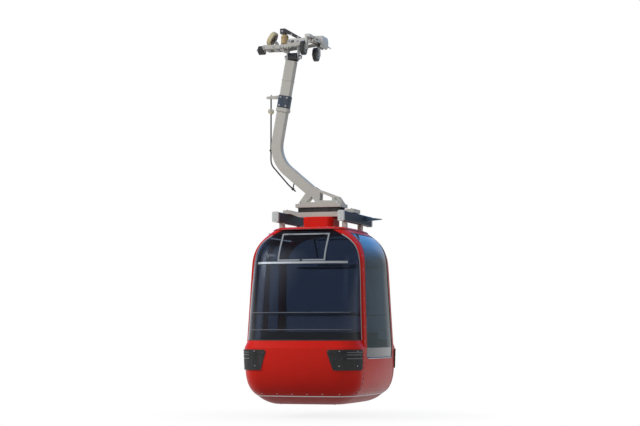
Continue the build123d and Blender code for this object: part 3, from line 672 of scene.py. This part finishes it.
jamb_caps = []
for end, sy in (("front", -1), ("rear", 1)):
    leaf, pane = f"door_leaf_{end}", f"door_pane_{end}"
    dress(signal_red, leaf)
    dress(black_steel, f"door_leaf_brackets_{end}", f"door_arm_lower_{end}", f"door_arm_upper_{end}")
    light = rims(leaf, lambda p: light_meeting < abs(p.y) < light_side and light_foot < p.z < light_top)
    made(f"door_gasket_{end}", beads(light, round_bead(0.006, 10, 0.0, 0.8)), gasket_rubber,
         leaf)
    leaf_surface = surface_of(leaf)
    guard = [met_side(leaf_surface, -1, sy * guard_y, leaf_foot + guard_length * k / 60) for k in range(61)]
    made(f"door_finger_guard_{end}", [drawn_along(guard, flat_strip(0.020, 0.004))], gasket_rubber,
         leaf)
    outer = rims(leaf, lambda p: abs(p.y) > leaf_side or p.z < leaf_foot or p.z > leaf_top)
    made(f"door_edge_seal_{end}", beads(outer, round_bead(0.0055, 10, -0.004)), gasket_rubber,
         leaf)
    leaf_seats = [met_side(leaf_surface, -1, sy * y, underside + height) for height in screw_rows
                  for y in screw_places]
    fastened(f"door_leaf_screws_{end}", button_head(0.005), leaf_seats, leaf)
    pane_surface = surface_of(pane)
    outside, way_out = met_side(pane_surface, -1, sy * clamp_y, clamp_z)
    inside, way_in = met(pane_surface, (0, sy * clamp_y, clamp_z), (-1, 0, 0))
    clamp = [level_strip(outside, way_out, 0.042, flat_strip(0.036, plate_thickness)),
             level_strip(inside, way_in, 0.030, flat_strip(0.030, 0.014))]
    made(f"door_pane_clamp_{end}", clamp, black_steel, leaf)
    clamp_seats = [(outside + way_out * plate_thickness + Vector((0, shift, 0)), way_out)
                   for shift in (-clamp_screw_half, clamp_screw_half)]
    fastened(f"door_pane_clamp_screws_{end}", button_head(0.006), clamp_seats, leaf)
    leaf_caps = []
    for height, (px, py) in zip(arm_heights, arm_pivots):
        pin_top = underside + height + pin_above_arm
        leaf_caps.append(turned(pin_cap, (px, sy * (py - arm_reach), pin_top), (0, 0, 1), 20))
        jamb_caps.append(turned(pin_cap, (px, sy * py, pin_top), (0, 0, 1), 20))
    made(f"door_leaf_pin_caps_{end}", leaf_caps, steel_screws, leaf)
made("door_jamb_pin_caps", jamb_caps, steel_screws)

# Seats: two moulded benches with a pad and a back pad each, in woven cloth over foam with sewn channels, a
# ribbed rubber mat between them, and stainless handrails on round flanges.
woven, given, relief_height = shared_effect("woven_cloth", "Height", Scale=260.0)
tree = woven
place = wire(tree, "TexCoord").outputs["Object"]
warp, weft = [wire(tree, "TexWave", {"bands_direction": run}, Vector=place, Scale=given["Scale"],
                   Distortion=0.6, Detail=1.0).outputs["Fac"] for run in "XY"]
crossed = reckoned(tree, "MULTIPLY", warp, weft)
slubs = noise(tree, place, 40.0, 3.0)
slubbed = wire(tree, "Mix", {"data_type": "FLOAT"}, i0=0.35, i2=crossed, i3=slubs)
tree.links.new(slubbed.outputs[0], relief_height)
bench_plastic = finish("grained_bench_moulding", (0.20, 0.21, 0.22), (0.26, 0.27, 0.28), 0.5, grain=200,
                       bump=0.3)
seat_cloth = finish("woven_seat_cloth", (0.045, 0.050, 0.070), (0.115, 0.125, 0.155), 0.85, grain=95,
                    bump=0.5, dust=0.2, relief=woven, Sheen_Weight=0.3)
mat_rubber = finish("ribbed_floor_mat", (0.028, 0.028, 0.030), (0.045, 0.044, 0.044), 0.6, grain=160,
                    bump=0.2)
brushed = finish("brushed_stainless", (0.60, 0.60, 0.61), (0.50, 0.50, 0.51), 0.28, metal=1.0, grain=90,
                 stretch=(1, 1, 14), bump=0.06, dust=0.1)
dress(bench_plastic, "benches")
dress(brushed, "handrails")
columns, rows = 72, 28


def cushion(name, node, low, high, thin, sign, channels):
    """A crowned pad between two corners, flat towards -sign along its thin axis, with a seam across its
    middle and a channel along it at each given share of its depth."""
    deep = 3 - thin
    size, centre = high - low, (low + high) / 2
    rest = low[thin] if sign > 0 else high[thin]
    points, faces = [], []
    for crowned in (True, False):
        for i in range(columns + 1):
            for j in range(rows + 1):
                u, v = -1 + 2 * i / columns, -1 + 2 * j / rows
                u, v = sin(u * pi / 2) * 0.5 + u * 0.5, sin(v * pi / 2) * 0.5 + v * 0.5
                crown = (1 - abs(u) ** 10) ** 0.5 * (1 - abs(v) ** 7) ** 0.5
                crown *= 1 - 0.30 * exp(-(u / 0.018) ** 2)
                for channel in channels:
                    crown *= 1 - 0.26 * exp(-((v - channel) / 0.05) ** 2)
                swell = 0.82 + 0.18 * (1 - (u * u) ** 2) * (1 - v * v)
                bulk = crown * swell * 0.93 if crowned else -0.07 * crown
                drawn_in = 1 - 0.018 * (1 - u * u) * abs(v)
                point = Vector()
                point.x = centre.x + u * size.x / 2
                point[deep] = centre[deep] + v * size[deep] / 2 * drawn_in
                point[thin] = rest + sign * (size[thin] * bulk + size[thin] * 0.07)
                points.append(point)
    half = (columns + 1) * (rows + 1)
    for i in range(columns):
        for j in range(rows):
            a = i * (rows + 1) + j
            quad = (a, a + rows + 1, a + rows + 2, a + 1)
            faces += [quad, tuple(half + k for k in reversed(quad))]
    ends = [(base + j, base + j + 1) for j in range(rows) for base in (0, columns * (rows + 1))]
    sides = [(i * (rows + 1) + base, (i + 1) * (rows + 1) + base) for i in range(columns)
             for base in (0, rows)]
    faces += [(a, b, half + b, half + a) for a, b in ends + sides]
    piece = made(name, [(points, faces)], seat_cloth, corner=80)
    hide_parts(node)


seat_front, back_front = 0.520, 0.802
seat_low, seat_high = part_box("seat_cushions")
back_low, back_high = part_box("back_cushions")
for end, sy in (("front", -1), ("rear", 1)):
    near, far = sorted((sy * seat_front, sy * seat_high.y))
    cushion(f"seat_cushion_{end}", "seat_cushions", Vector((seat_low.x, near, seat_low.z)),
            Vector((seat_high.x, far, seat_high.z)), 2, 1, (-0.1, 0.45))
    near, far = sorted((sy * back_front, sy * back_high.y))
    cushion(f"back_cushion_{end}", "back_cushions", Vector((back_low.x, near, back_low.z)),
            Vector((back_high.x, far, back_high.z)), 1, -sy, (-0.3, 0.3))
floor_top, rib_count, mat_half_width, mat_half_length = underside + 0.095, 46, 0.50, 0.49
mat_low, mat_high, rib_step = 0.0035, 0.0055, 2 * mat_half_length / rib_count
mat_profile = []
for k in range(rib_count):
    y = -mat_half_length + 2 * mat_half_length * k / rib_count
    mat_profile += [(y, mat_low), (y + rib_step * 0.15, mat_high), (y + rib_step * 0.5, mat_high),
                    (y + rib_step * 0.65, mat_low)]
mat_profile.append((mat_half_length, mat_low))
points = [Vector((x, y, floor_top + h)) for x in (-mat_half_width, mat_half_width) for y, h in mat_profile]
points += [Vector((sx * mat_half_width, sy * mat_half_length, floor_top)) for sx, sy in corners]
n = len(mat_profile)
a, b, c, d = range(2 * n, 2 * n + 4)
faces = [(k, k + 1, n + k + 1, n + k) for k in range(n - 1)]
faces += [(a, b, *range(n - 1, -1, -1)), (d, c, *range(n, 2 * n))]
faces += [(a, 0, n, c), (b, d, 2 * n - 1, n - 1), (a, c, d, b)]
made("floor_mat", [(points, faces)], mat_rubber, corner=30)
rail_height, rail_end_y = underside + 1.050, 0.576
flange_proud, flange_circle, flange_angles = 0.0055, 0.022, (0.5, 2.6, 4.7)
flange_rings = [(0.030, -0.001), (0.030, 0.004), (0.027, 0.006), (0.018, 0.007), (0.0145, 0.014)]
flanges, flange_seats = [], []
for sx, sy in corners:
    point, _ = met(hoop_surface, (0, sy * rail_end_y, rail_height), (sx, 0, 0))
    flanges.append(turned(flange_rings, point, (-sx, 0, 0), 28))
    for a in flange_angles:
        out = Vector((-sx * flange_proud, flange_circle * cos(a), flange_circle * sin(a)))
        flange_seats.append((point + out, (-sx, 0, 0)))
made("handrail_flanges", flanges, brushed)
fastened("handrail_screws", button_head(0.003), flange_seats)

# Roof: a red moulded cap bedded on the posts with a black seal and screws round its rim, and a red housing
# for the suspension. Two dark glossy rails with pale moulded caps stand on galvanised feet, and a fin stands
# out from the inboard one, its steel blue a painted reflection of the sky.


def four_upright(x, y, z):
    """Upright seats at four corners round the cabin's middle."""
    return [((sx * x, sy * y, z), (0, 0, 1)) for sx, sy in corners]


roof_surface = surface_of("roof_cap")
roof_seam_height, roof_seam_points = underside + 2.0385, 150
roof_seam = ring_on(roof_surface, roof_seam_height, roof_seam_points)
made("roof_seal", [drawn_along(roof_seam, round_bead(0.0045, 8), closed=True)], black_sealant)
roof_screw_x, roof_screw_y, roof_squareness, roof_screws = 0.405, 0.525, 0.55, 26
roof_hits = []
for k in range(roof_screws):
    a = 2 * pi * k / roof_screws
    x, y = [reach * copysign(abs(part) ** roof_squareness, part)
            for reach, part in ((roof_screw_x, cos(a)), (roof_screw_y, sin(a)))]
    roof_hits.append(met(roof_surface, (x, y, underside + 3), (0, 0, -1)))
fastened("roof_screws", button_head(0.006), [hit for hit in roof_hits if hit])
rail_navy = finish("navy_gloss_rail", (0.008, 0.014, 0.032), (0.012, 0.020, 0.045), 0.42, grain=12, bump=0.03,
                   wear=0.4, bare=(0.3, 0.32, 0.36), dust=0.1, rough_spread=0.06, Specular_IOR_Level=0.14)
# The fin's steel blue is a painted reflection of the sky on a dark rail.
fin_sky_reflection_blue = finish("fin_painted_sky_reflection", (0.085, 0.15, 0.23), (0.06, 0.11, 0.18), 0.32, metal=0.3, grain=30,
                  bump=0.05, wear=0.4, bare=(0.45, 0.48, 0.52), dust=0.15)
pale_cap = finish("pale_moulded_cap", (0.72, 0.72, 0.70), (0.64, 0.64, 0.62), 0.45, grain=80, dust=0.35)
galvanised = finish("hot_dip_galvanised", (0.62, 0.585, 0.52), (0.48, 0.455, 0.41), 0.5, metal=0.2, grain=38,
                    bump=0.06, wear=0.2, bare=(0.72, 0.72, 0.72), reach=0.002, dust=0.2,
                    dust_colour=(0.36, 0.33, 0.28))
dress(rail_navy, "roof_rails")
dress(fin_sky_reflection_blue, "rail_fin")
dress(pale_cap, "rail_caps")
dress(galvanised, "rail_feet", "cross_beam", "hanger_foot", "hanger_arm", "control_bracket", "rope_guides",
      "lever_bars")
rail_x, foot_x, foot_half, foot_y, foot_bolt_height = 0.405, 0.390, 0.025, 0.33, underside + 2.108
rail_ends, cap_screw_heights = ((-0.550, -1), (0.700, 1)), (2.165, 2.228)
hump_screw_x, hump_screw_y, hump_top = 0.15, 0.16, underside + 2.215
fastened("rail_cap_screws", button_head(0.006),
         [((sx * rail_x, y, underside + z), (0, way, 0)) for sx in (-1, 1) for y, way in rail_ends
          for z in cap_screw_heights])
fastened("rail_foot_bolts", hex_bolt(0.007),
         [((sx * foot_x + side * foot_half, y, foot_bolt_height), (side, 0, 0)) for sx in (-1, 1)
          for y in (-foot_y, foot_y) for side in (-1, 1)])
fastened("hump_screws", button_head(0.006), four_upright(hump_screw_x, hump_screw_y, hump_top))

# Suspension: a galvanised cross beam, two long black rubber mounts on it, and the hanger's foot, a thick
# plate with cut-out gussets welded each side of the arm. Four bolts go through the lot.


def hex_nut(r):
    """Rings of a nut on its washer, with the bolt's end through it."""
    return [(1.75 * r, -r * 0.2), (1.75 * r, r * 0.22), (1.12 * r, r * 0.22, 6), (1.12 * r, r * 1.1, 6),
            (r * 0.96, r * 1.22), (r * 0.6, r * 1.22), (r * 0.6, r * 1.75), (r * 0.48, r * 1.87)]


def weld(path, radius, closed=False):
    """A weld bead with its ripples, along a path."""
    path = respaced(path, radius * 0.55, closed)
    points, faces = drawn_along(path, round_bead(1.0, 7), closed)
    for i, (middle, _) in enumerate(path):
        size = radius * (1 + 0.13 * cos(2 * pi * i / 4))
        for k in range(i * 7, i * 7 + 7):
            points[k] = middle + (points[k] - middle) * size
    return points, faces


damper_rubber = finish("damper_rubber", (0.014, 0.014, 0.014), (0.028, 0.028, 0.028), 0.6, grain=150,
                       bump=0.2)
dress(damper_rubber, "dampers")
plate_top, beam_end_top = underside + 2.375, underside + 2.303
gusset_half_length, gusset_out, plate_bolt_x, plate_bolt_y = 0.280, 0.066, 0.235, 0.112
beam_bolt_x, beam_bolt_y = 0.405, 0.1
fastened("foot_nuts", hex_nut(0.013), four_upright(plate_bolt_x, plate_bolt_y, plate_top))
fastened("beam_bolts", hex_bolt(0.010), four_upright(beam_bolt_x, beam_bolt_y, beam_end_top))
foot_welds = []
for sy in (-1, 1):
    line = [(Vector((x, sy * gusset_out, plate_top)), Vector((0, sy * 0.7, 0.7)))
            for x in (-gusset_half_length, 0, gusset_half_length)]
    foot_welds.append(weld(line, 0.006))
made("foot_welds", foot_welds, galvanised)

# Hanger arm: a box tube with one large bend, galvanised, its collar and hub welded on. A dark slate sleeve in
# two bolted halves goes round it above the collar and puts a dark band on the arm there.
arm_head, arm_bend = Vector((-0.385, 0, underside + 4.140)), Vector((-0.600, 0, underside + 2.940))
arm_down = (arm_bend - arm_head).normalized()
arm_side = Vector((0, 1, 0))
arm_across = arm_side.cross(arm_down).normalized()
half_depth, half_width, arm_corner = 0.050, 0.066, 0.014
weld_places, sleeve_start, sleeve_length, sleeve_proud = (0.248, 0.588, 0.632), 0.433, 0.150, 0.008
sleeve_bolt_rows, sleeve_bolt_half = (0.025, 0.125), 0.042


def loop_round_arm(at):
    """Path round the arm at a distance down from its head."""
    middle = arm_head + arm_down * at
    path = []
    for sx, sy, first in ((1, 1, 0), (-1, 1, 90), (-1, -1, 180), (1, -1, 270)):
        corner = arm_across * sx * (half_width - arm_corner) + arm_side * sy * (half_depth - arm_corner)
        for step in range(5):
            a = radians(first + 22.5 * step)
            out = arm_across * cos(a) + arm_side * sin(a)
            path.append((middle + corner + out * arm_corner, out))
    return path


made("arm_welds", [weld(loop_round_arm(at), 0.0055, True) for at in weld_places], galvanised)
# Dark slate for the sleeve: a dark band on the arm above the collar.
dark_sleeve_finish = finish("dark_slate_sleeve", (0.030, 0.045, 0.070), (0.045, 0.060, 0.085), 0.4, grain=70,
                      wear=0.5, bare=(0.3, 0.3, 0.3))
sleeve_profile = [(0.0, -0.002), (0.0, 0.006), (0.002, sleeve_proud), (sleeve_length - 0.002, sleeve_proud),
                  (sleeve_length, 0.006), (sleeve_length, -0.002)]
sleeve_path = loop_round_arm(sleeve_start)
m, n = len(sleeve_profile), len(sleeve_path)
points = [middle + arm_down * down + out * proud for middle, out in sleeve_path
          for down, proud in sleeve_profile]
faces = [(i * m + k, i * m + (k + 1) % m, (i + 1) % n * m + (k + 1) % m, (i + 1) % n * m + k)
         for i in range(n) for k in range(m)]
made("arm_sleeve", [(points, faces)], dark_sleeve_finish)
sleeve_seats = []
for sy in (-1, 1):
    for down in sleeve_bolt_rows:
        for across in (-sleeve_bolt_half, sleeve_bolt_half):
            place = arm_head + arm_down * (sleeve_start + down) + arm_across * across
            sleeve_seats.append((place + arm_side * sy * (half_depth + sleeve_proud), arm_side * sy))
fastened("arm_sleeve_bolts", hex_bolt(0.007), sleeve_seats)

# Door control: a cream roller on a dark rod that slides in two eyes strapped to the hanger, with a nut on
# the bracket.
cream_polymer = finish("cast_cream_polyamide", (0.70, 0.62, 0.40), (0.60, 0.52, 0.31), 0.42, grain=45,
                       bump=0.15, wear=0.3, bare=(0.30, 0.25, 0.17), dust=0.45,
                       dust_colour=(0.16, 0.12, 0.08))
dress(cream_polymer, "control_roller", "guide_roller")
dress(black_steel, "control_rod", "spring_arm", "hanger_hub")
rod_x, roller_height, roller_half, rod_top = -0.648, 3.530, 0.024, 3.711
roller_nut = [(0.017, -0.002), (0.017, 0.003), (0.010, 0.005, 6), (0.010, 0.010, 6)]
rod_nut = [(0.018, 0, 6), (0.018, 0.012, 6), (0.015, 0.014), (0.009, 0.014), (0.009, 0.022), (0.007, 0.024)]
eye_rings = [(0.0092, -0.012), (0.016, -0.012), (0.018, -0.010), (0.018, 0.010), (0.016, 0.012),
             (0.0092, 0.012)]
strap = [(-0.012, -0.004), (-0.012, 0.004), (0.012, 0.004), (0.012, -0.004)]
eye_rows = ((rod_x, 3.05, (0, 0, 1), -0.606, 3.075), (-0.365, 2.5711, (-0.75, 0, 0.667), -0.350, 2.640))
roller_seats = [((rod_x, sy * roller_half, underside + roller_height), (0, sy, 0)) for sy in (-1, 1)]
fastened("control_roller_nuts", roller_nut, roller_seats, sides=18)
fastened("control_rod_nut", rod_nut, [((rod_x, 0, underside + rod_top), (0, 0, 1))], sides=18)
guides = []
for eye_x, eye_z, way, arm_x, arm_z in eye_rows:
    eye, arm_point = Vector((eye_x, 0, underside + eye_z)), Vector((arm_x, 0, underside + arm_z))
    way, reach = Vector(way).normalized(), (arm_point - eye).normalized()
    line = [eye + reach * 0.014, eye.lerp(arm_point, 0.5), arm_point + reach * 0.012]
    guides += [turned(eye_rings, eye, way, 24), drawn_along([(point, way) for point in line], strap)]
made("control_rod_guides", guides, black_steel)

# Grip: galvanised castings on the rope with a fixed jaw, an axle beam, and a pin for the hanger. A tan
# housing holds the spring under a black arm. Bolts and nuts are steel.


def both_sides(rows, side):
    """Seats for (x, z) rows on both sides of the grip."""
    return [((x, sy * side, z), (0, sy, 0)) for sy in (-1, 1) for x, z in rows]


pale_casting = finish("galvanised_casting", (0.72, 0.71, 0.67), (0.60, 0.59, 0.56), 0.5, metal=0.1, grain=55,
                      wear=0.3, bare=(0.45, 0.44, 0.42), reach=0.002, dust=0.25,
                      dust_colour=(0.2, 0.17, 0.13))
tan_paint = finish("tan_painted_housing", (0.50, 0.36, 0.17), (0.42, 0.30, 0.14), 0.4, bump=0.12, wear=0.5,
                   bare=(0.25, 0.2, 0.15), dust=0.4)
dress(pale_casting, "grip_head", "grip_carrier")
dress(tan_paint, "spring_housing")
dress(brushed, "hanger_pin", "lever_pins", "spring_rod")
head_side, arm_plate_side, guide_top, guide_rows = 0.060, 0.042, 0.0315, (-0.285, -0.135, 0.135, 0.285)
head_bolts = ((-0.155, 0.086), (-0.205, 0.060), (-0.290, 0.060), (-0.403, 0.070))
beam_bolts_x, beam_top, beam_bolt_rows = -0.092, 0.104, (-0.235, -0.14, 0.14, 0.235)
arm_bolts = ((-0.290, 0.115), (-0.372, 0.150), (-0.490, 0.200))
pin_middle, pin_half, pin_z = -0.362, 0.081, -0.125
pin_nut = [(0.030, -0.001), (0.030, 0.005), (0.026, 0.005, 6), (0.026, 0.022, 6), (0.022, 0.025),
           (0.012, 0.025), (0.012, 0.029)]
band_rings = [(0.046, 0), (0.049, 0.002), (0.049, 0.010), (0.046, 0.012)]
housing_x, band_heights = -0.472, (0.047, 0.118)
grip_seats = [((beam_bolts_x, y, beam_top), (0, 0, 1)) for y in beam_bolt_rows]
fastened("grip_bolts", hex_bolt(0.009), both_sides(head_bolts, head_side) + grip_seats, "grip")
pin_seats = [((pin_middle + sx * pin_half, 0, pin_z), (sx, 0, 0)) for sx in (-1, 1)]
fastened("hanger_pin_nuts", pin_nut, pin_seats, "grip", 24)
bands = [turned(band_rings, (housing_x, 0, z), (0, 0, 1), 40) for z in band_heights]
made("housing_bands", bands, tan_paint, "grip")
fastened("spring_arm_bolts", hex_bolt(0.008), both_sides(arm_bolts, arm_plate_side), "grip")
guide_seats = [((0, y, guide_top), (0, 0, 1)) for y in guide_rows]
fastened("rope_guide_screws", button_head(0.006), guide_seats, "grip")

# Wheels: two running wheels with a vulcanised black tyre on a cast hub, five bolts in each, and nuts on
# their plain axles.
tyre_rubber = finish("wheel_rubber", (0.016, 0.016, 0.017), (0.035, 0.034, 0.033), 0.5, grain=110, bump=0.2,
                     wear=0.5, bare=(0.10, 0.095, 0.09), dust=0.4)
hub_metal = finish("cast_wheel_hub", (0.40, 0.39, 0.37), (0.30, 0.29, 0.28), 0.45, metal=0.5, grain=80,
                   bump=0.2, dust=0.4)
dress(tyre_rubber, "running_wheel_front", "running_wheel_rear", "lever_roller")
wheel_x, wheel_z, wheel_y, axle_end = -0.150, -0.060, 0.250, -0.186
hub_side, hub_proud, hub_circle = 0.025, 0.004, 0.045
hub_rings = [(0.058, -0.002), (0.058, 0.002), (0.054, 0.004), (0.034, 0.004), (0.031, 0.0025),
             (0.024, 0.0025), (0.023, 0.004), (0.0185, 0.004), (0.0185, -0.002)]
flush_bolt = [(0.0045, -0.001), (0.0045, 0.0012), (0.003, 0.0016)]
axle_nut = [(0.016, -0.002), (0.016, 0.001), (0.019, 0.001, 6), (0.019, 0.011, 6), (0.015, 0.013),
            (0.008, 0.013)]
for end, y in (("front", -wheel_y), ("rear", wheel_y)):
    hubs, hub_seats = [], []
    for side in (-1, 1):
        centre = Vector((wheel_x + side * hub_side, y, wheel_z))
        hubs.append(turned(hub_rings, centre, (side, 0, 0), 40))
        for a in [radians(72 * k) for k in range(5)]:
            out = Vector((side * hub_proud, hub_circle * cos(a), hub_circle * sin(a)))
            hub_seats.append((centre + out, (side, 0, 0)))
    made(f"running_wheel_hubs_{end}", hubs, hub_metal, f"running_wheel_{end}")
    fastened(f"running_wheel_bolts_{end}", flush_bolt, hub_seats, f"running_wheel_{end}")
axle_seats = [((axle_end, y, wheel_z), (-1, 0, 0)) for y in (-wheel_y, wheel_y)]
fastened("wheel_axle_nuts", axle_nut, axle_seats, "grip", 24)

# Lever: two galvanised bars with cross blocks and the forged moving jaw on one shaft. The coil spring stands
# on its rod and pushes up into the housing.
jaw_steel = finish("forged_jaw_steel", (0.20, 0.20, 0.20), (0.12, 0.115, 0.11), 0.4, metal=0.8, bump=0.25,
                   dust=0.4, dust_colour=(0.1, 0.08, 0.05))
spring_steel = finish("painted_spring_steel", (0.05, 0.05, 0.055), (0.09, 0.085, 0.08), 0.4, grain=90,
                      bump=0.12, wear=0.4, bare=(0.35, 0.33, 0.3))
dress(jaw_steel, "moving_jaw")
coil_radius, coil_wire, coil_turns, coil_foot, coil_top = 0.0265, 0.0045, 4.6, 0.0085, 0.066
shaft_x, shaft_z, shaft_half, bar_side = -0.074, 0.038, 0.139, 0.131
roller_z, roller_axle_end, roller_faces = -0.018, -0.819, ((-0.807, -1), (-0.727, 1))
bar_bolts = ((-0.455, -0.018), (-0.489, -0.018), (-0.575, -0.010), (-0.700, -0.006))
coil_path = []
for k in range(int(coil_turns * 26) + 1):
    a = 2 * pi * k / 26
    share = k / (coil_turns * 26)
    out = Vector((cos(a), sin(a), 0))
    middle = Vector((housing_x, 0, coil_foot + (coil_top - coil_foot) * share))
    coil_path.append((middle + out * coil_radius, out))
coil = drawn_along(coil_path, round_bead(coil_wire, 10))
made("coil_spring", [coil], spring_steel, "grip_lever")
shaft_nut = [(0.022, -0.001), (0.022, 0.003), (0.019, 0.003, 6), (0.019, 0.014, 6), (0.016, 0.016),
             (0.009, 0.016)]
lever_nuts = [turned(shaft_nut, (shaft_x, sy * shaft_half, shaft_z), (0, sy, 0), 24) for sy in (-1, 1)]
lever_nuts.append(turned(axle_nut, (roller_axle_end, 0, roller_z), (-1, 0, 0), 24))
made("lever_nuts", lever_nuts, steel_screws, "grip_lever")
fastened("lever_bolts", hex_bolt(0.0075), both_sides(bar_bolts, bar_side), "grip_lever")

# Lever roller: a black tyre with a pale hub disc. Guide roller: cast cream polyamide between two discs
# coloured dark brown as painted shade on its flanks, tilted with its axle.
roller_face = [(0.036, -0.002), (0.036, 0.002), (0.032, 0.004), (0.0185, 0.004), (0.0185, -0.002)]
roller_discs = [turned(roller_face, (x, 0, roller_z), (side, 0, 0), 36) for x, side in roller_faces]
made("lever_roller_discs", roller_discs, pale_cap, "lever_roller")
# The discs' dark brown is painted shade on the guide roller's flanks.
roller_flank_shade_finish = finish("roller_flank_painted_shade", (0.060, 0.035, 0.022), (0.10, 0.06, 0.04), 0.5, metal=0.3, grain=70,
                   bump=0.2, wear=0.4, bare=(0.3, 0.27, 0.23), dust=0.4)
tilt, guide_centre = radians(31), Vector((-0.633, 0, 0.116))
disc_side, disc_proud, disc_circle, guide_axle_end = 0.028, 0.006, 0.052, 0.036
disc_rings = [(0.070, -0.002), (0.070, 0.003), (0.066, 0.006), (0.036, 0.006), (0.033, 0.003), (0.020, 0.003),
              (0.020, 0.007), (0.0145, 0.007), (0.0145, -0.002)]
guide_axis = Vector((cos(tilt), 0, -sin(tilt)))
square = guide_axis.orthogonal().normalized()
other = guide_axis.cross(square)
discs, disc_seats = [], []
for side in (-1, 1):
    centre = guide_centre + guide_axis * (side * disc_side)
    discs.append(turned(disc_rings, centre, guide_axis * side, 44))
    for a in [radians(60 * k) for k in range(6)]:
        out = (square * cos(a) + other * sin(a)) * disc_circle
        disc_seats.append((centre + guide_axis * (side * disc_proud) + out, guide_axis * side))
made("guide_roller_flank_shade_discs", discs, roller_flank_shade_finish, "guide_roller")
fastened("guide_roller_screws", button_head(0.005), disc_seats, "guide_roller")
end_nut = [(0.015, 0, 6), (0.015, 0.008, 6), (0.012, 0.0095)]
fastened("guide_axle_nut", end_nut, [(guide_centre - guide_axis * guide_axle_end, -guide_axis)], "grip_lever",
         24)
